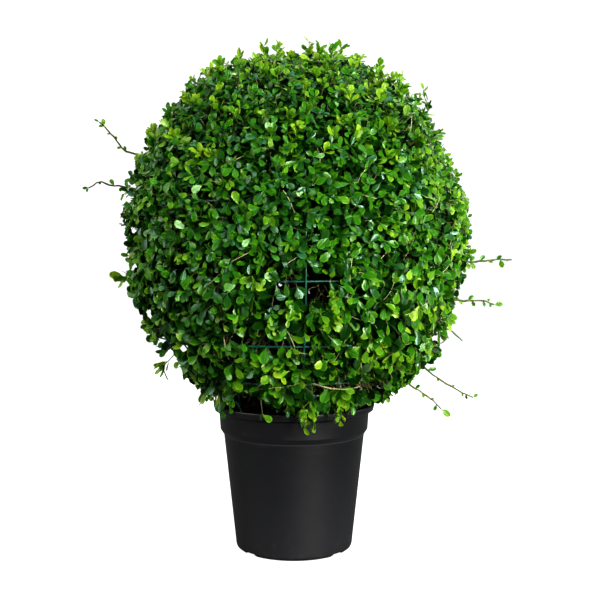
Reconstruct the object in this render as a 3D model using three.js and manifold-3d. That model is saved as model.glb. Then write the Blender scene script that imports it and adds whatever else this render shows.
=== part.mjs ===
// A ball topiary of a small-leaved evergreen shrub in a black nursery pot.
// Millimetres, +Z up. The origin is the middle of the pot's underside, on the ground, and -Y is the front.
// Pot, root ball, trunk, boughs, the wire form that shapes the ball, and the clipped foliage are separate solids.
import * as THREE from "three";
import { mergeVertices } from "three/addons/utils/BufferGeometryUtils.js";
import Module from "manifold-3d";

const wasm = await Module();
wasm.setup();

// Driving dimensions

const GAP = 0.3; // left between solids that touch
const CLEAR = 0.4; // kept by twigs and leaves from everything that isn't theirs

const POT_RIM_RADIUS = 158.5;
const POT_HEIGHT = 287.5;
const POT_WALL = 2.6;
const POT_FACETS = 40;
const LIP_HEIGHT = 8.5; // upright part of the rim
const LIP_SLOPE = 8; // flared part under it
const COLLAR_TOP_RADIUS = 147.8;
const COLLAR_FOOT_RADIUS = 145.6;
const COLLAR_HEIGHT = 33;
const STEP_HEIGHT = 11; // slope from the collar down to the tapered body
const BODY_TOP_RADIUS = 138.6;
const BODY_FOOT_RADIUS = 115;
const FOOT_EDGE = 9; // height of the rounded bottom edge
const FOOT_RADIUS = 108;
const FOOT_WIDTH = 14;
const FLOOR_UNDERSIDE = 6;
const FLOOR_THICKNESS = 3;
const NOTCH_ANGLES = [-50, 50, 130, -130]; // drain notches through the foot, degrees from the front
const NOTCH_WIDTH = 34;
const DRAIN_RADIUS = 6.5;
const SOIL_BELOW_RIM = 20;

const BALL_CENTRE = 630; // height of the ball's widest part
const BALL_RADIUS = 346;
const BALL_DROP = 352; // from the widest part down to the underside
const LOWER_POWER = 2.4; // the lower half is fuller than a true sphere

const CORE_INSET = 42; // dense foliage starts this far inside the clipped surface
const CORE_INSET_DROP = 40; // and comes nearer to it towards the underside
const CORE_DROP_POWER = 5;
const CORE_THICKNESS = 60;
const CORE_LUMPS = 5;
const NECK_RADIUS = 62; // opening under the ball that the trunk rises through

const WIRE_INSET = 29; // the wire form lies this far inside the clipped surface
const WIRE_INSET_DROP = 20; // and comes nearer to it towards the underside
const WIRE_RADIUS = 1.6;
const WIRE_SIDES = 3;
const RIB_COUNT = 6;
const RIB_TURN = 4; // degrees that the front rib stands off the middle
const RIB_TOP_ANGLE = 11; // degrees from the zenith
const RING_HEIGHTS = [352, 426, 540, 676, 802, 900];
const RING_SET = 2 * WIRE_RADIUS + 0.5; // how far a ring's centre line lies inside the ribs'
const LOWEST_RING_SET = RING_SET - 1; // less where the ribs slope in under the ball
const LEG_RADIUS = 122; // the ribs run down into the pot as legs on this circle
const LEG_BURIED = 60;
const LEG_BEND = [[0.3, 28], [0.65, 43], [0.9, 55], [1, 72]]; // share of the way in, and how far down

const TRUNK_BASE_RADIUS = 17;
const TRUNK_TIP_RADIUS = 5.5;
const TRUNK_FLARE = 9;
const TRUNK_SWAY = 11;
const TRUNK_SUNK = 0.02; // share of its height that is cut away flat at the soil
const TRUNK_STEPS = 10;
const BOUGH_STEPS = 5;
const BOUGH_SIDES = 5;
const STEM_LENGTH = 26; // free length of the stem that joins a mass to its bough

const TIERS = [
  { name: "upper", count: 5, zenith: 61, turn: 18, from: [505, 600], root: 8, tip: 4.6 },
  { name: "lower", count: 6, zenith: 113, turn: 0, from: [345, 440], root: 9.5, tip: 5 },
];

const SPRAY_COUNT = 116; // sprays over the whole ball
const SPRAY_LOWEST = 156; // degrees from the zenith
const SPRAY_LENGTH = [24, 34];
const SPRAY_ROOT = 9; // how deep a spray's twig is sunk in the dense foliage
const LEAVES_PER_SPRAY = 4;
const LEAF_LENGTH = [48, 64];
const LEAF_WIDTH = 0.6; // of its length
const LEAF_THICKNESS = 0.055; // of its length
const LEAF_ROOT = 0.4; // how far past its twig's middle a leaf's root is sunk
const LEAF_SPREAD = [46, 84]; // degrees between a leaf and its twig
const TWIG_RADIUS = 3.2;
const LEAF_TRIES = 8;
const CROSSING = 0.5; // cubic millimetres that a leaf may share with the others, near their roots
const CROWN_SLACK = 6; // how far a leaf tip may stand out of the clipped surface
const SKIRT_SLACK = 28; // and how far one may hang below the underside, over the pot's rim
const SKIRT_LEVEL = -0.78; // where that skirt starts, as the height of a unit direction

// Shoots that escaped the shears: where each leaves the ball, how it runs from there, and its leaves' length.
const SHOOTS = [
  { leaf: 15, way: [[-290, 18, 770], [-336, 24, 786], [-356, 24, 812], [-384, 24, 841]] },
  { leaf: 14, way: [[-330, 60, 712], [-368, 60, 718], [-392, 60, 724], [-414, 60, 711]] },
  { leaf: 18, way: [[320, -58, 568], [350, -60, 567], [384, -60, 571], [414, -60, 571]] },
  { leaf: 16, way: [[310, -36, 492], [336, -34, 490], [374, -32, 489], [388, -32, 474]] },
  { leaf: 0, way: [[288, 40, 442], [308, 40, 430], [322, 40, 419], [336, 40, 404]] },
  { leaf: 16, way: [[250, 26, 362], [284, 22, 334], [318, 18, 314], [356, 14, 294]] },
  { leaf: 17, way: [[205, -30, 350], [232, -32, 322], [258, -34, 306], [286, -36, 280]] },
  { leaf: 24, way: [[230, -62, 826], [254, -70, 852], [246, -72, 878], [240, -74, 902]] },
  { leaf: 26, way: [[60, -306, 520], [66, -340, 514], [70, -372, 509], [72, -400, 502]] },
  { leaf: 28, way: [[38, -176, 336], [30, -188, 316], [22, -194, 290], [18, -194, 262]] },
  { leaf: 24, way: [[82, -166, 336], [84, -178, 314], [84, -184, 292], [84, -184, 270]] },
  { leaf: 26, way: [[-52, 10, 945], [-55, 8, 962], [-58, 6, 978], [-60, 4, 992]] },
  { leaf: 24, way: [[-24, 22, 950], [-26, 20, 968], [-28, 18, 984], [-28, 16, 1000]] },
  { leaf: 26, way: [[28, -22, 950], [28, -22, 966], [30, -24, 982], [30, -26, 998]] },
  { leaf: 28, way: [[88, 10, 938], [90, 8, 956], [92, 8, 974], [92, 6, 992]] },
  { leaf: 24, way: [[122, -4, 925], [126, -4, 942], [130, -6, 958], [134, -6, 974]] },
  { leaf: 17, way: [[-174, 272, 722], [-194, 310, 738], [-204, 334, 748], [-212, 352, 768]] },
  { leaf: 17, way: [[44, 306, 598], [50, 346, 590], [54, 376, 582], [56, 400, 574]] },
  { leaf: 16, way: [[224, 210, 446], [248, 240, 430], [262, 260, 416], [278, 280, 398]] },
  { leaf: 17, way: [[-164, 184, 384], [-190, 210, 354], [-206, 230, 336], [-222, 248, 314]] },
  { leaf: 22, way: [[76, 200, 858], [80, 214, 884], [84, 224, 906], [92, 232, 928]] },
];
const SHOOT_RADIUS = 2.2;
const SHOOT_STEPS = 5;
const SHOOT_BARE = 3; // steps without leaves at a shoot's foot
const GOLDEN_ANGLE = Math.PI * (3 - Math.sqrt(5));

// Materials

const plastic = new THREE.MeshStandardMaterial({ color: 0x1b1c1f, roughness: 0.5, metalness: 0 });
const soil = new THREE.MeshStandardMaterial({ color: 0x2a1d14, roughness: 1, metalness: 0 });
const bark = new THREE.MeshStandardMaterial({ color: 0x6f5b45, roughness: 0.9, metalness: 0 });
const coatedWire = new THREE.MeshStandardMaterial({ color: 0x12503a, roughness: 0.4, metalness: 0.1 });
const foliage = new THREE.MeshStandardMaterial({ color: 0x2f7a1c, roughness: 0.45, metalness: 0 });

// Small tools: random numbers, solids and bent limbs

function seededRandom(seed) {
  let state = seed;
  return () => {
    state = (state + 0x6d2b79f5) | 0;
    let mixed = Math.imul(state ^ (state >>> 15), 1 | state);
    mixed = (mixed + Math.imul(mixed ^ (mixed >>> 7), 61 | mixed)) ^ mixed;
    return ((mixed ^ (mixed >>> 14)) >>> 0) / 4294967296;
  };
}

const radians = THREE.MathUtils.degToRad;
const between = ([low, high], share) => low + (high - low) * share;
const point = (x, y, z) => new THREE.Vector3(x, y, z);

function merged(geometry) {
  const bare = geometry.clone();
  bare.deleteAttribute("normal");
  bare.deleteAttribute("uv");
  return mergeVertices(bare, 1e-4);
}

function solidOf(geometry) {
  const closed = merged(geometry);
  return new wasm.Manifold(
    new wasm.Mesh({
      numProp: 3,
      vertProperties: new Float32Array(closed.attributes.position.array),
      triVerts: new Uint32Array(closed.index.array),
    }),
  );
}

function meshOf(name, solid, material) {
  const { vertProperties, triVerts } = solid.getMesh();
  const geometry = new THREE.BufferGeometry();
  geometry.setAttribute("position", new THREE.BufferAttribute(vertProperties, 3));
  geometry.setIndex(new THREE.BufferAttribute(triVerts, 1));
  geometry.computeVertexNormals();
  const mesh = new THREE.Mesh(geometry, material);
  mesh.name = name;
  return mesh;
}

// A closed round limb through the given points, with a radius at each. across is a direction square to its bends.
function limb(points, radii, across, sides) {
  const rows = points.length - 1;
  const geometry = merged(new THREE.CylinderGeometry(1, 1, 1, sides, rows));
  const frames = points.map((_, i) => {
    const along = points[Math.min(i + 1, rows)].clone().sub(points[Math.max(i - 1, 0)]).normalize();
    const side = across.clone().addScaledVector(along, -across.dot(along)).normalize();
    return { side, over: side.clone().cross(along) };
  });
  const position = geometry.attributes.position;
  for (let i = 0; i < position.count; i++) {
    const row = Math.round((position.getY(i) + 0.5) * rows);
    const placed = points[row]
      .clone()
      .addScaledVector(frames[row].side, position.getX(i) * radii[row])
      .addScaledVector(frames[row].over, position.getZ(i) * radii[row]);
    position.setXYZ(i, placed.x, placed.y, placed.z);
  }
  return geometry;
}

// A turned shape: outline points are [radius, height].
function turned(outline, facets) {
  const geometry = new THREE.LatheGeometry(outline.map(([r, z]) => new THREE.Vector2(r, z)), facets);
  return geometry.rotateX(Math.PI / 2);
}

// The direction that an azimuth and an angle from the zenith give. Azimuth 0 is the front and 90 the right.
function direction(azimuth, zenith) {
  const [a, z] = [radians(azimuth), radians(zenith)];
  return point(Math.sin(z) * Math.sin(a), -Math.sin(z) * Math.cos(a), Math.cos(z));
}

// Distance from the ball's centre to the clipped surface along a unit direction.
function reach(way) {
  const level = Math.hypot(way.x, way.y);
  if (way.z >= 0) return BALL_RADIUS;
  const sum = (level / BALL_RADIUS) ** LOWER_POWER + (-way.z / BALL_DROP) ** LOWER_POWER;
  return sum ** (-1 / LOWER_POWER);
}

// How far inside the clipped surface the dense foliage starts in a direction.
const coreInset = (way) => CORE_INSET - CORE_INSET_DROP * Math.max(-way.z, 0) ** CORE_DROP_POWER;

const ballCentre = point(0, 0, BALL_CENTRE);
const onBall = (way, inset) => way.clone().multiplyScalar(reach(way) - inset).add(ballCentre);

// Pot

const rimBase = POT_HEIGHT - LIP_HEIGHT; // where the upright lip starts
const collarTop = rimBase - LIP_SLOPE;
const collarFoot = collarTop - COLLAR_HEIGHT;
const bodyTop = collarFoot - STEP_HEIGHT;
const floorTop = FLOOR_UNDERSIDE + FLOOR_THICKNESS;

// The wall's outer outline from the rounded bottom edge to the rim, as [radius, height].
const wallOutline = [
  [BODY_FOOT_RADIUS - 3.4, 2.6],
  [BODY_FOOT_RADIUS - 0.9, FOOT_EDGE / 2 + 0.8],
  [BODY_FOOT_RADIUS, FOOT_EDGE],
  [BODY_TOP_RADIUS, bodyTop],
  [COLLAR_FOOT_RADIUS - 1, collarFoot - 2],
  [COLLAR_FOOT_RADIUS, collarFoot],
  [COLLAR_TOP_RADIUS, collarTop],
  [POT_RIM_RADIUS - 1.6, rimBase],
  [POT_RIM_RADIUS, POT_HEIGHT - 1.5],
];

// The wall's inner face, from the rim down to the floor, drawn in by a clearance.
function innerOutline(clearance) {
  const above = wallOutline.slice(2).reverse();
  above[above.length - 1] = [BODY_FOOT_RADIUS, floorTop + clearance];
  return above.map(([r, z]) => [r - POT_WALL - clearance, z]);
}

function makePot() {
  const inner = innerOutline(0).slice(1);
  const outline = [
    [0, FLOOR_UNDERSIDE],
    [FOOT_RADIUS - FOOT_WIDTH, FLOOR_UNDERSIDE],
    [FOOT_RADIUS - FOOT_WIDTH, 0],
    [FOOT_RADIUS, 0],
    ...wallOutline,
    [POT_RIM_RADIUS - 0.8, POT_HEIGHT],
    [POT_RIM_RADIUS - POT_WALL + 0.4, POT_HEIGHT],
    ...inner,
    [0, floorTop],
  ];
  let pot = solidOf(turned(outline, POT_FACETS));
  for (const angle of NOTCH_ANGLES) {
    const out = direction(angle, 90);
    const notch = new THREE.BoxGeometry(NOTCH_WIDTH, 2 * FOOT_WIDTH + 8, 2 * FLOOR_UNDERSIDE);
    notch.rotateZ(radians(angle)).translate(out.x * FOOT_RADIUS, out.y * FOOT_RADIUS, 0);
    const drain = new THREE.CylinderGeometry(DRAIN_RADIUS, DRAIN_RADIUS, 4 * floorTop, 10).rotateX(Math.PI / 2);
    const drainAt = FOOT_RADIUS - FOOT_WIDTH / 2;
    drain.translate(out.x * drainAt, out.y * drainAt, 0);
    pot = pot.subtract(solidOf(notch)).subtract(solidOf(drain));
  }
  return pot;
}

// Root ball: potting soil that fills the pot up to a little below the rim

const soilTop = POT_HEIGHT - SOIL_BELOW_RIM;

function makeRootBall() {
  const wall = innerOutline(GAP).filter(([, z]) => z < soilTop);
  const above = innerOutline(GAP).filter(([, z]) => z >= soilTop).at(-1);
  const share = (soilTop - wall[0][1]) / (above[1] - wall[0][1]);
  const rimOfSoil = wall[0][0] + (above[0] - wall[0][0]) * share;
  const outline = [[0, floorTop + GAP], ...wall.reverse(), [rimOfSoil, soilTop], [0, soilTop]];
  return solidOf(turned(outline, POT_FACETS));
}

// Wire form: ribs from the top of the ball down to legs in the soil, and rings welded inside them

// A point of the form in a direction from the ball's centre, set in by some more for what lies inside it.
function onForm(way, further) {
  return onBall(way, WIRE_INSET - WIRE_INSET_DROP * Math.min(way.z, 0) ** 2 + further);
}

// The point of the form at a height, in the vertical plane of an azimuth, found by halving.
function formAt(azimuth, height, further) {
  let [low, high] = [0, 180];
  for (let i = 0; i < 40; i++) {
    const middle = (low + high) / 2;
    if (onForm(direction(azimuth, middle), further).z > height) low = middle;
    else high = middle;
  }
  return onForm(direction(azimuth, low), further);
}

// Points down one rib. Every ring's height has a point, so that rib and ring meet corner to corner.
function ribPoints(azimuth) {
  const top = onForm(direction(azimuth, RIB_TOP_ANGLE), 0);
  const stops = [top.z, ...RING_HEIGHTS.slice().reverse()];
  const points = [top];
  stops.slice(1).forEach((height, i) => {
    points.push(formAt(azimuth, (stops[i] + height) / 2, 0), formAt(azimuth, height, 0));
  });
  const out = direction(azimuth, 90);
  const last = points.at(-1);
  const lastRadius = Math.hypot(last.x, last.y);
  for (const [share, drop] of LEG_BEND) {
    const radius = lastRadius + (LEG_RADIUS - lastRadius) * share;
    points.push(point(out.x * radius, out.y * radius, last.z - drop));
  }
  points.push(point(out.x * LEG_RADIUS, out.y * LEG_RADIUS, soilTop - LEG_BURIED));
  return points;
}

function ribGeometry(index, radius, buried = 0) {
  const azimuth = RIB_TURN + (index * 360) / RIB_COUNT;
  const points = ribPoints(azimuth);
  points.at(-1).z -= buried;
  return limb(points, points.map(() => radius), direction(azimuth + 90, 90), WIRE_SIDES);
}

// A ring through a point of the form, with its corners at the ribs.
function ringGeometry(at, wireRadius, facets) {
  const ring = new THREE.TorusGeometry(Math.hypot(at.x, at.y), wireRadius, WIRE_SIDES, facets);
  return ring.rotateZ(radians(RIB_TURN - 90)).translate(0, 0, at.z);
}

const rings = [
  ...RING_HEIGHTS.map((height, i) => {
    const at = formAt(0, height, i === 0 ? LOWEST_RING_SET : RING_SET);
    return { name: `wire_ring_${i + 1}`, at, facets: 5 * RIB_COUNT };
  }),
  { name: "wire_ring_top", at: onForm(direction(0, RIB_TOP_ANGLE + 1), RING_SET), facets: 3 * RIB_COUNT },
];

// Trunk and boughs

const coreInner = (way) => reach(way) - coreInset(way) - CORE_THICKNESS;

const trunkTop = BALL_CENTRE + coreInner(point(0, 0, 1)) - STEM_LENGTH;

// The trunk's centre line at a height, swaying a little on the way up.
function trunkAt(height) {
  const share = (height - soilTop) / (trunkTop - soilTop);
  const sway = Math.sin(share * Math.PI) * TRUNK_SWAY;
  return point(Math.sin(share * 5.2) * sway, Math.cos(share * 4.1) * sway * 0.8, height);
}

// Shares of the trunk's height, closer together at the flared foot.
const trunkShares = Array.from({ length: TRUNK_STEPS + 1 }, (_, i) => {
  return (i / TRUNK_STEPS) ** 1.3 * (1 + TRUNK_SUNK) - TRUNK_SUNK;
});
const trunkPoints = trunkShares.map((share) => trunkAt(soilTop + (trunkTop - soilTop) * share));

function trunkGeometry(extra) {
  const radii = trunkShares.map((share) => {
    const flare = TRUNK_FLARE * Math.exp(-Math.max(share, 0) * 16);
    return between([TRUNK_BASE_RADIUS, TRUNK_TIP_RADIUS], share) + flare + extra;
  });
  return limb(trunkPoints, radii, point(1, 0, 0), 9);
}

// Every mass hangs on one limb: the top mass on the trunk's tip, and each of the others on its own bough.
function bough(tier, index) {
  const azimuth = tier.turn + (index * 360) / tier.count;
  const way = direction(azimuth, tier.zenith);
  const random = seededRandom(31 * index + tier.count);
  const from = trunkAt(between(tier.from, ((index * 2) % tier.count) / (tier.count - 1)));
  const tip = way.clone().multiplyScalar(coreInner(way) - STEM_LENGTH).add(ballCentre);
  const out = direction(azimuth, 90);
  const middle = from.clone().lerp(tip, 0.45).add(point(0, 0, 16 + 12 * random()));
  middle.addScaledVector(direction(azimuth + 90, 90), 16 * (random() - 0.5));
  const beforeTip = tip.clone().addScaledVector(out, -26).add(point(0, 0, -14));
  const curve = new THREE.CatmullRomCurve3([from, middle, beforeTip, tip]);
  const name = `${tier.name}_${index + 1}`;
  return { name, way, points: curve.getSpacedPoints(BOUGH_STEPS), tier, azimuth };
}

const boughs = TIERS.flatMap((tier) => Array.from({ length: tier.count }, (_, i) => bough(tier, i)));

function boughGeometry({ points, tier, azimuth }, extra) {
  const radii = points.map((_, i) => between([tier.root, tier.tip], i / BOUGH_STEPS) + extra);
  return limb(points, radii, direction(azimuth + 90, 90), BOUGH_SIDES);
}

// Foliage masses

// Each mass keeps to the cone of directions that lie nearest to its own.
const masses = [
  { name: "top", way: point(0, 0, 1), carrier: trunkPoints, radius: TRUNK_TIP_RADIUS },
  ...boughs.map(({ name, way, points, tier }) => {
    return { name, way, carrier: points, radius: tier.tip };
  }),
];

function nearestMass(way) {
  return masses.reduce((best, mass) => (mass.way.dot(way) > best.way.dot(way) ? mass : best));
}

function borders(mass) {
  return masses.filter((other) => other !== mass).map((other) => mass.way.clone().sub(other.way).normalize());
}

function insideMass(mass, vertex) {
  const offset = vertex.clone().sub(ballCentre);
  return mass.borders.every((normal) => normal.dot(offset) > CLEAR / 2);
}

// A closed ball that follows the dense foliage's surface at a depth, rough by some amount.
function foliageBall(depth, detail, roughness) {
  const geometry = merged(new THREE.IcosahedronGeometry(1, detail));
  const position = geometry.attributes.position;
  for (let i = 0; i < position.count; i++) {
    const way = new THREE.Vector3().fromBufferAttribute(position, i).normalize();
    const rough = roughness * Math.sin(31 * way.x + 17 * way.y + 23 * way.z);
    const placed = onBall(way, coreInset(way) + depth + rough);
    position.setXYZ(i, placed.x, placed.y, placed.z);
  }
  return solidOf(geometry);
}

function neck() {
  const length = BALL_CENTRE - soilTop;
  const cylinder = new THREE.CylinderGeometry(NECK_RADIUS, NECK_RADIUS, length, 18).rotateX(Math.PI / 2);
  return solidOf(cylinder.translate(0, 0, soilTop + length / 2));
}

function makeShell() {
  const hollow = foliageBall(CORE_THICKNESS, 1, 0);
  return foliageBall(0, 3, CORE_LUMPS).subtract(hollow).subtract(neck()).subtract(keepOut);
}

function coreOf(mass) {
  let core = shell;
  for (const normal of mass.borders) {
    const offset = normal.dot(ballCentre) + CLEAR / 2;
    core = core.trimByPlane([normal.x, normal.y, normal.z], offset);
  }
  return core;
}

// The stem that carries a mass: it starts just clear of its limb's tip and runs into the core.
function stemOf({ carrier, radius }) {
  const tip = carrier.at(-1);
  const along = tip.clone().sub(carrier.at(-2)).normalize();
  const foot = tip.clone().addScaledVector(along, GAP);
  const head = foot.clone().addScaledVector(along, STEM_LENGTH + 26);
  const across = Math.abs(along.z) > 0.9 ? point(1, 0, 0) : direction(90, 90);
  return solidOf(limb([foot, head], [radius, radius * 0.75], across, 6));
}

// One leaf as a thin folded kite: its midrib is the outer edge, and its sides meet on the inner one.
function leafGeometry(length, base, along, face) {
  const side = along.clone().cross(face).normalize();
  const up = side.clone().cross(along).normalize();
  const width = length * LEAF_WIDTH;
  const rise = up.clone().multiplyScalar((length * LEAF_THICKNESS) / 2).addScaledVector(along, -0.06 * length);
  const quarter = along.clone().multiplyScalar(length / 4);
  const toSide = side.clone().multiplyScalar(width / 4);
  const place = new THREE.Matrix4().makeBasis(quarter.clone().add(toSide), quarter.clone().sub(toSide), rise);
  place.setPosition(base.clone().addScaledVector(along, length * 0.56));
  return merged(new THREE.TetrahedronGeometry(Math.sqrt(3), 0)).applyMatrix4(place);
}

function verticesOf(geometry) {
  const position = geometry.attributes.position;
  return Array.from({ length: position.count }, (_, i) => new THREE.Vector3().fromBufferAttribute(position, i));
}

function standsOut(vertex) {
  const offset = vertex.clone().sub(ballCentre);
  const way = offset.clone().normalize();
  return offset.length() > reach(way) + (way.z < SKIRT_LEVEL ? SKIRT_SLACK : CROWN_SLACK);
}

function anyAcross(along) {
  const across = Math.abs(along.z) > 0.8 ? point(1, 0, 0) : point(0, 0, 1);
  return across.addScaledVector(along, -across.dot(along)).normalize();
}

// The direction square off one of a three-sided twig's faces, turned by some degrees about the twig.
function offFace(along, across, face, turn) {
  return across.clone().applyAxisAngle(along, radians(90 + 120 * face + turn));
}

// Adds a twig or leaf to a mass if it stays in the mass's own space, touches no limb or wire, and crosses no leaf.
function addIfClear(grown, mass, geometry, crossed, mayStandOut) {
  const vertices = verticesOf(geometry);
  if (!vertices.every((vertex) => insideMass(mass, vertex))) return false;
  if (!mayStandOut && vertices.some(standsOut)) return false;
  const solid = solidOf(geometry);
  if (solid.intersect(keepOut).volume() > 0) return false;
  if (solid.intersect(grown.leaves).volume() > crossed) return false;
  if (crossed === CROSSING) grown.leaves = grown.leaves.add(solid);
  grown.parts.push(solid);
  return true;
}

// A spray: a short twig out of the dense foliage with a whorl of leaves round its end.
function addSpray(grown, mass, way, random) {
  const foot = onBall(way, coreInset(way) + SPRAY_ROOT);
  const lean = point(random() - 0.5, random() - 0.5, random() - 0.2).multiplyScalar(0.5);
  const along = way.clone().add(lean).normalize();
  const length = between(SPRAY_LENGTH, random());
  const tip = foot.clone().addScaledVector(along, length);
  const across = anyAcross(along);
  const twig = limb([foot, tip], [TWIG_RADIUS, TWIG_RADIUS * 0.8], across, 3);
  if (!addIfClear(grown, mass, twig, 0, false)) return;
  for (let i = 0; i < LEAVES_PER_SPRAY; i++) {
    for (let attempt = 0; attempt < LEAF_TRIES; attempt++) {
      const spread = radians(between(LEAF_SPREAD, random()));
      const sideways = offFace(along, across, i + attempt, (i < 3 ? -22 : 22) + 14 * (random() - 0.5));
      const leafAlong = along.clone().multiplyScalar(Math.cos(spread)).addScaledVector(sideways, Math.sin(spread));
      const base = foot.clone().addScaledVector(along, length * (0.92 - 0.07 * i - 0.03 * random()));
      base.addScaledVector(leafAlong, -LEAF_ROOT);
      const size = between(LEAF_LENGTH, random()) * (1 - 0.05 * attempt);
      if (addIfClear(grown, mass, leafGeometry(size, base, leafAlong, along), CROSSING, false)) break;
    }
  }
}

// A shoot that escaped the shears: a thin stem from the dense foliage, with small leaves by turns along it.
function addShoot(grown, mass, { way, leaf }, random) {
  const points = way.map(([x, y, z]) => point(x, y, z));
  const inward = points[0].clone().sub(ballCentre).normalize();
  const curve = new THREE.CatmullRomCurve3([onBall(inward, coreInset(inward) + 1.5 * SPRAY_ROOT), ...points]);
  const placed = curve.getSpacedPoints(SHOOT_STEPS);
  const across = anyAcross(placed.at(-1).clone().sub(placed[0]).normalize());
  const radii = placed.map((_, i) => SHOOT_RADIUS * (1 - (0.5 * i) / SHOOT_STEPS));
  if (!addIfClear(grown, mass, limb(placed, radii, across, 3), 0, true)) return;
  for (let i = leaf ? SHOOT_BARE : SHOOT_STEPS; i < SHOOT_STEPS; i++) {
    const along = placed[i + 1].clone().sub(placed[i]).normalize();
    for (const share of [0.3, 0.75]) {
      const sideways = offFace(along, anyAcross(along), 2 * i + 2 * share, 20 * (random() - 0.5));
      const leafAlong = along.clone().multiplyScalar(0.6).add(sideways).normalize();
      const base = placed[i].clone().lerp(placed[i + 1], share).addScaledVector(leafAlong, -LEAF_ROOT);
      const size = leaf * between([0.8, 1.15], random());
      addIfClear(grown, mass, leafGeometry(size, base, leafAlong, along), CROSSING, true);
    }
  }
}

// Directions spread evenly over the ball, from the top down to the lowest spray.
function sprayWays() {
  const lowest = Math.cos(radians(SPRAY_LOWEST));
  return Array.from({ length: SPRAY_COUNT }, (_, i) => {
    const z = 1 - ((i + 0.5) / SPRAY_COUNT) * (1 - lowest);
    const azimuth = THREE.MathUtils.radToDeg(i * GOLDEN_ANGLE);
    return direction(azimuth, THREE.MathUtils.radToDeg(Math.acos(z)));
  });
}

// What twigs and leaves grow round: the pot with its soil, the limbs and the wires.
const potBlock = [
  [0, 0],
  ...wallOutline.map(([r, z]) => [r + CLEAR, z]),
  [POT_RIM_RADIUS + CLEAR, POT_HEIGHT + CLEAR],
  [0, POT_HEIGHT + CLEAR],
];
const ribIndices = Array.from({ length: RIB_COUNT }, (_, i) => i);
const keepOut = wasm.Manifold.union([
  solidOf(turned(potBlock, POT_FACETS)),
  solidOf(trunkGeometry(CLEAR)),
  ...boughs.map((one) => solidOf(boughGeometry(one, CLEAR))),
  ...ribIndices.map((i) => solidOf(ribGeometry(i, WIRE_RADIUS + CLEAR))),
  ...rings.map(({ at, facets }) => solidOf(ringGeometry(at, WIRE_RADIUS + CLEAR, facets))),
]);

const shell = makeShell();

// A mass in one solid. Hollows that the leaves seal are filled, and loose scraps are left out.
function makeMass(mass, index) {
  const stem = stemOf(mass);
  const grown = { parts: [coreOf(mass), stem], leaves: stem };
  const random = seededRandom(1000 + index);
  for (const shoot of SHOOTS) {
    const outside = point(...shoot.way[1]).sub(ballCentre).normalize();
    if (nearestMass(outside) === mass) addShoot(grown, mass, shoot, random);
  }
  for (const way of sprayWays()) {
    if (nearestMass(way) === mass) addSpray(grown, mass, way, random);
  }
  const bodies = wasm.Manifold.union(grown.parts).decompose();
  const whole = bodies.reduce((largest, body) => (body.volume() > largest.volume() ? body : largest));
  return whole.simplify(0.01);
}

// Assembly

const topiary = new THREE.Group();

const trunkClear = solidOf(trunkGeometry(GAP));
const legHoles = ribIndices.map((i) => solidOf(ribGeometry(i, WIRE_RADIUS + GAP, 1)));

topiary.add(meshOf("pot", makePot(), plastic));
topiary.add(meshOf("root_ball", makeRootBall().subtract(wasm.Manifold.union(legHoles)), soil));
topiary.add(meshOf("trunk", solidOf(trunkGeometry(0)).trimByPlane([0, 0, 1], soilTop + GAP), bark));
for (const one of boughs) {
  topiary.add(meshOf(`bough_${one.name}`, solidOf(boughGeometry(one, 0)).subtract(trunkClear), bark));
}
for (const i of ribIndices) {
  topiary.add(meshOf(`wire_rib_${i + 1}`, solidOf(ribGeometry(i, WIRE_RADIUS)), coatedWire));
}
for (const { name, at, facets } of rings) {
  topiary.add(meshOf(name, solidOf(ringGeometry(at, WIRE_RADIUS, facets)), coatedWire));
}
for (const mass of masses) mass.borders = borders(mass);
masses.forEach((mass, i) => topiary.add(meshOf(`foliage_${mass.name}`, makeMass(mass, i), foliage)));

export default topiary;
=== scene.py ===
# A ball topiary of a small-leaved evergreen shrub in a black nursery pot.
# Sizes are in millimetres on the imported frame, and MM turns them into metres where a mesh is made.
import math

import bpy
import numpy as np
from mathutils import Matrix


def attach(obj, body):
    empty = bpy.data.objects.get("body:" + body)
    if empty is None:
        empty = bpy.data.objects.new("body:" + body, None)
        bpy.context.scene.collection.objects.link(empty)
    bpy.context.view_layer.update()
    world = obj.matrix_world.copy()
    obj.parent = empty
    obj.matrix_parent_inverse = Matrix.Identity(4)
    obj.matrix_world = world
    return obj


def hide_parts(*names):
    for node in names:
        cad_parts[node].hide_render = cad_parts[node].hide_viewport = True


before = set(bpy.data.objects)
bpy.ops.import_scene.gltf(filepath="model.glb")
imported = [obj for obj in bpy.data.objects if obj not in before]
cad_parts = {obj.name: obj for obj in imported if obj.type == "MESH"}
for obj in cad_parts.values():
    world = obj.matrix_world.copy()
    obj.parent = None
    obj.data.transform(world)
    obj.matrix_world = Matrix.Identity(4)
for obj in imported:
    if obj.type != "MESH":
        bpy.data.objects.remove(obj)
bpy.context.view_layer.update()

# Studio: a wide pale floor under broad, even light, as for a catalogue picture of a plant.
# The camera stands two metres away at the height of the ball and looks down a little.

MM = 0.001
CAMERA_PLACE = (11.8, -2100, 620)
CAMERA_DOWN = 3.55  # degrees
LENS = 64.08
SENSOR = 36
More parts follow.
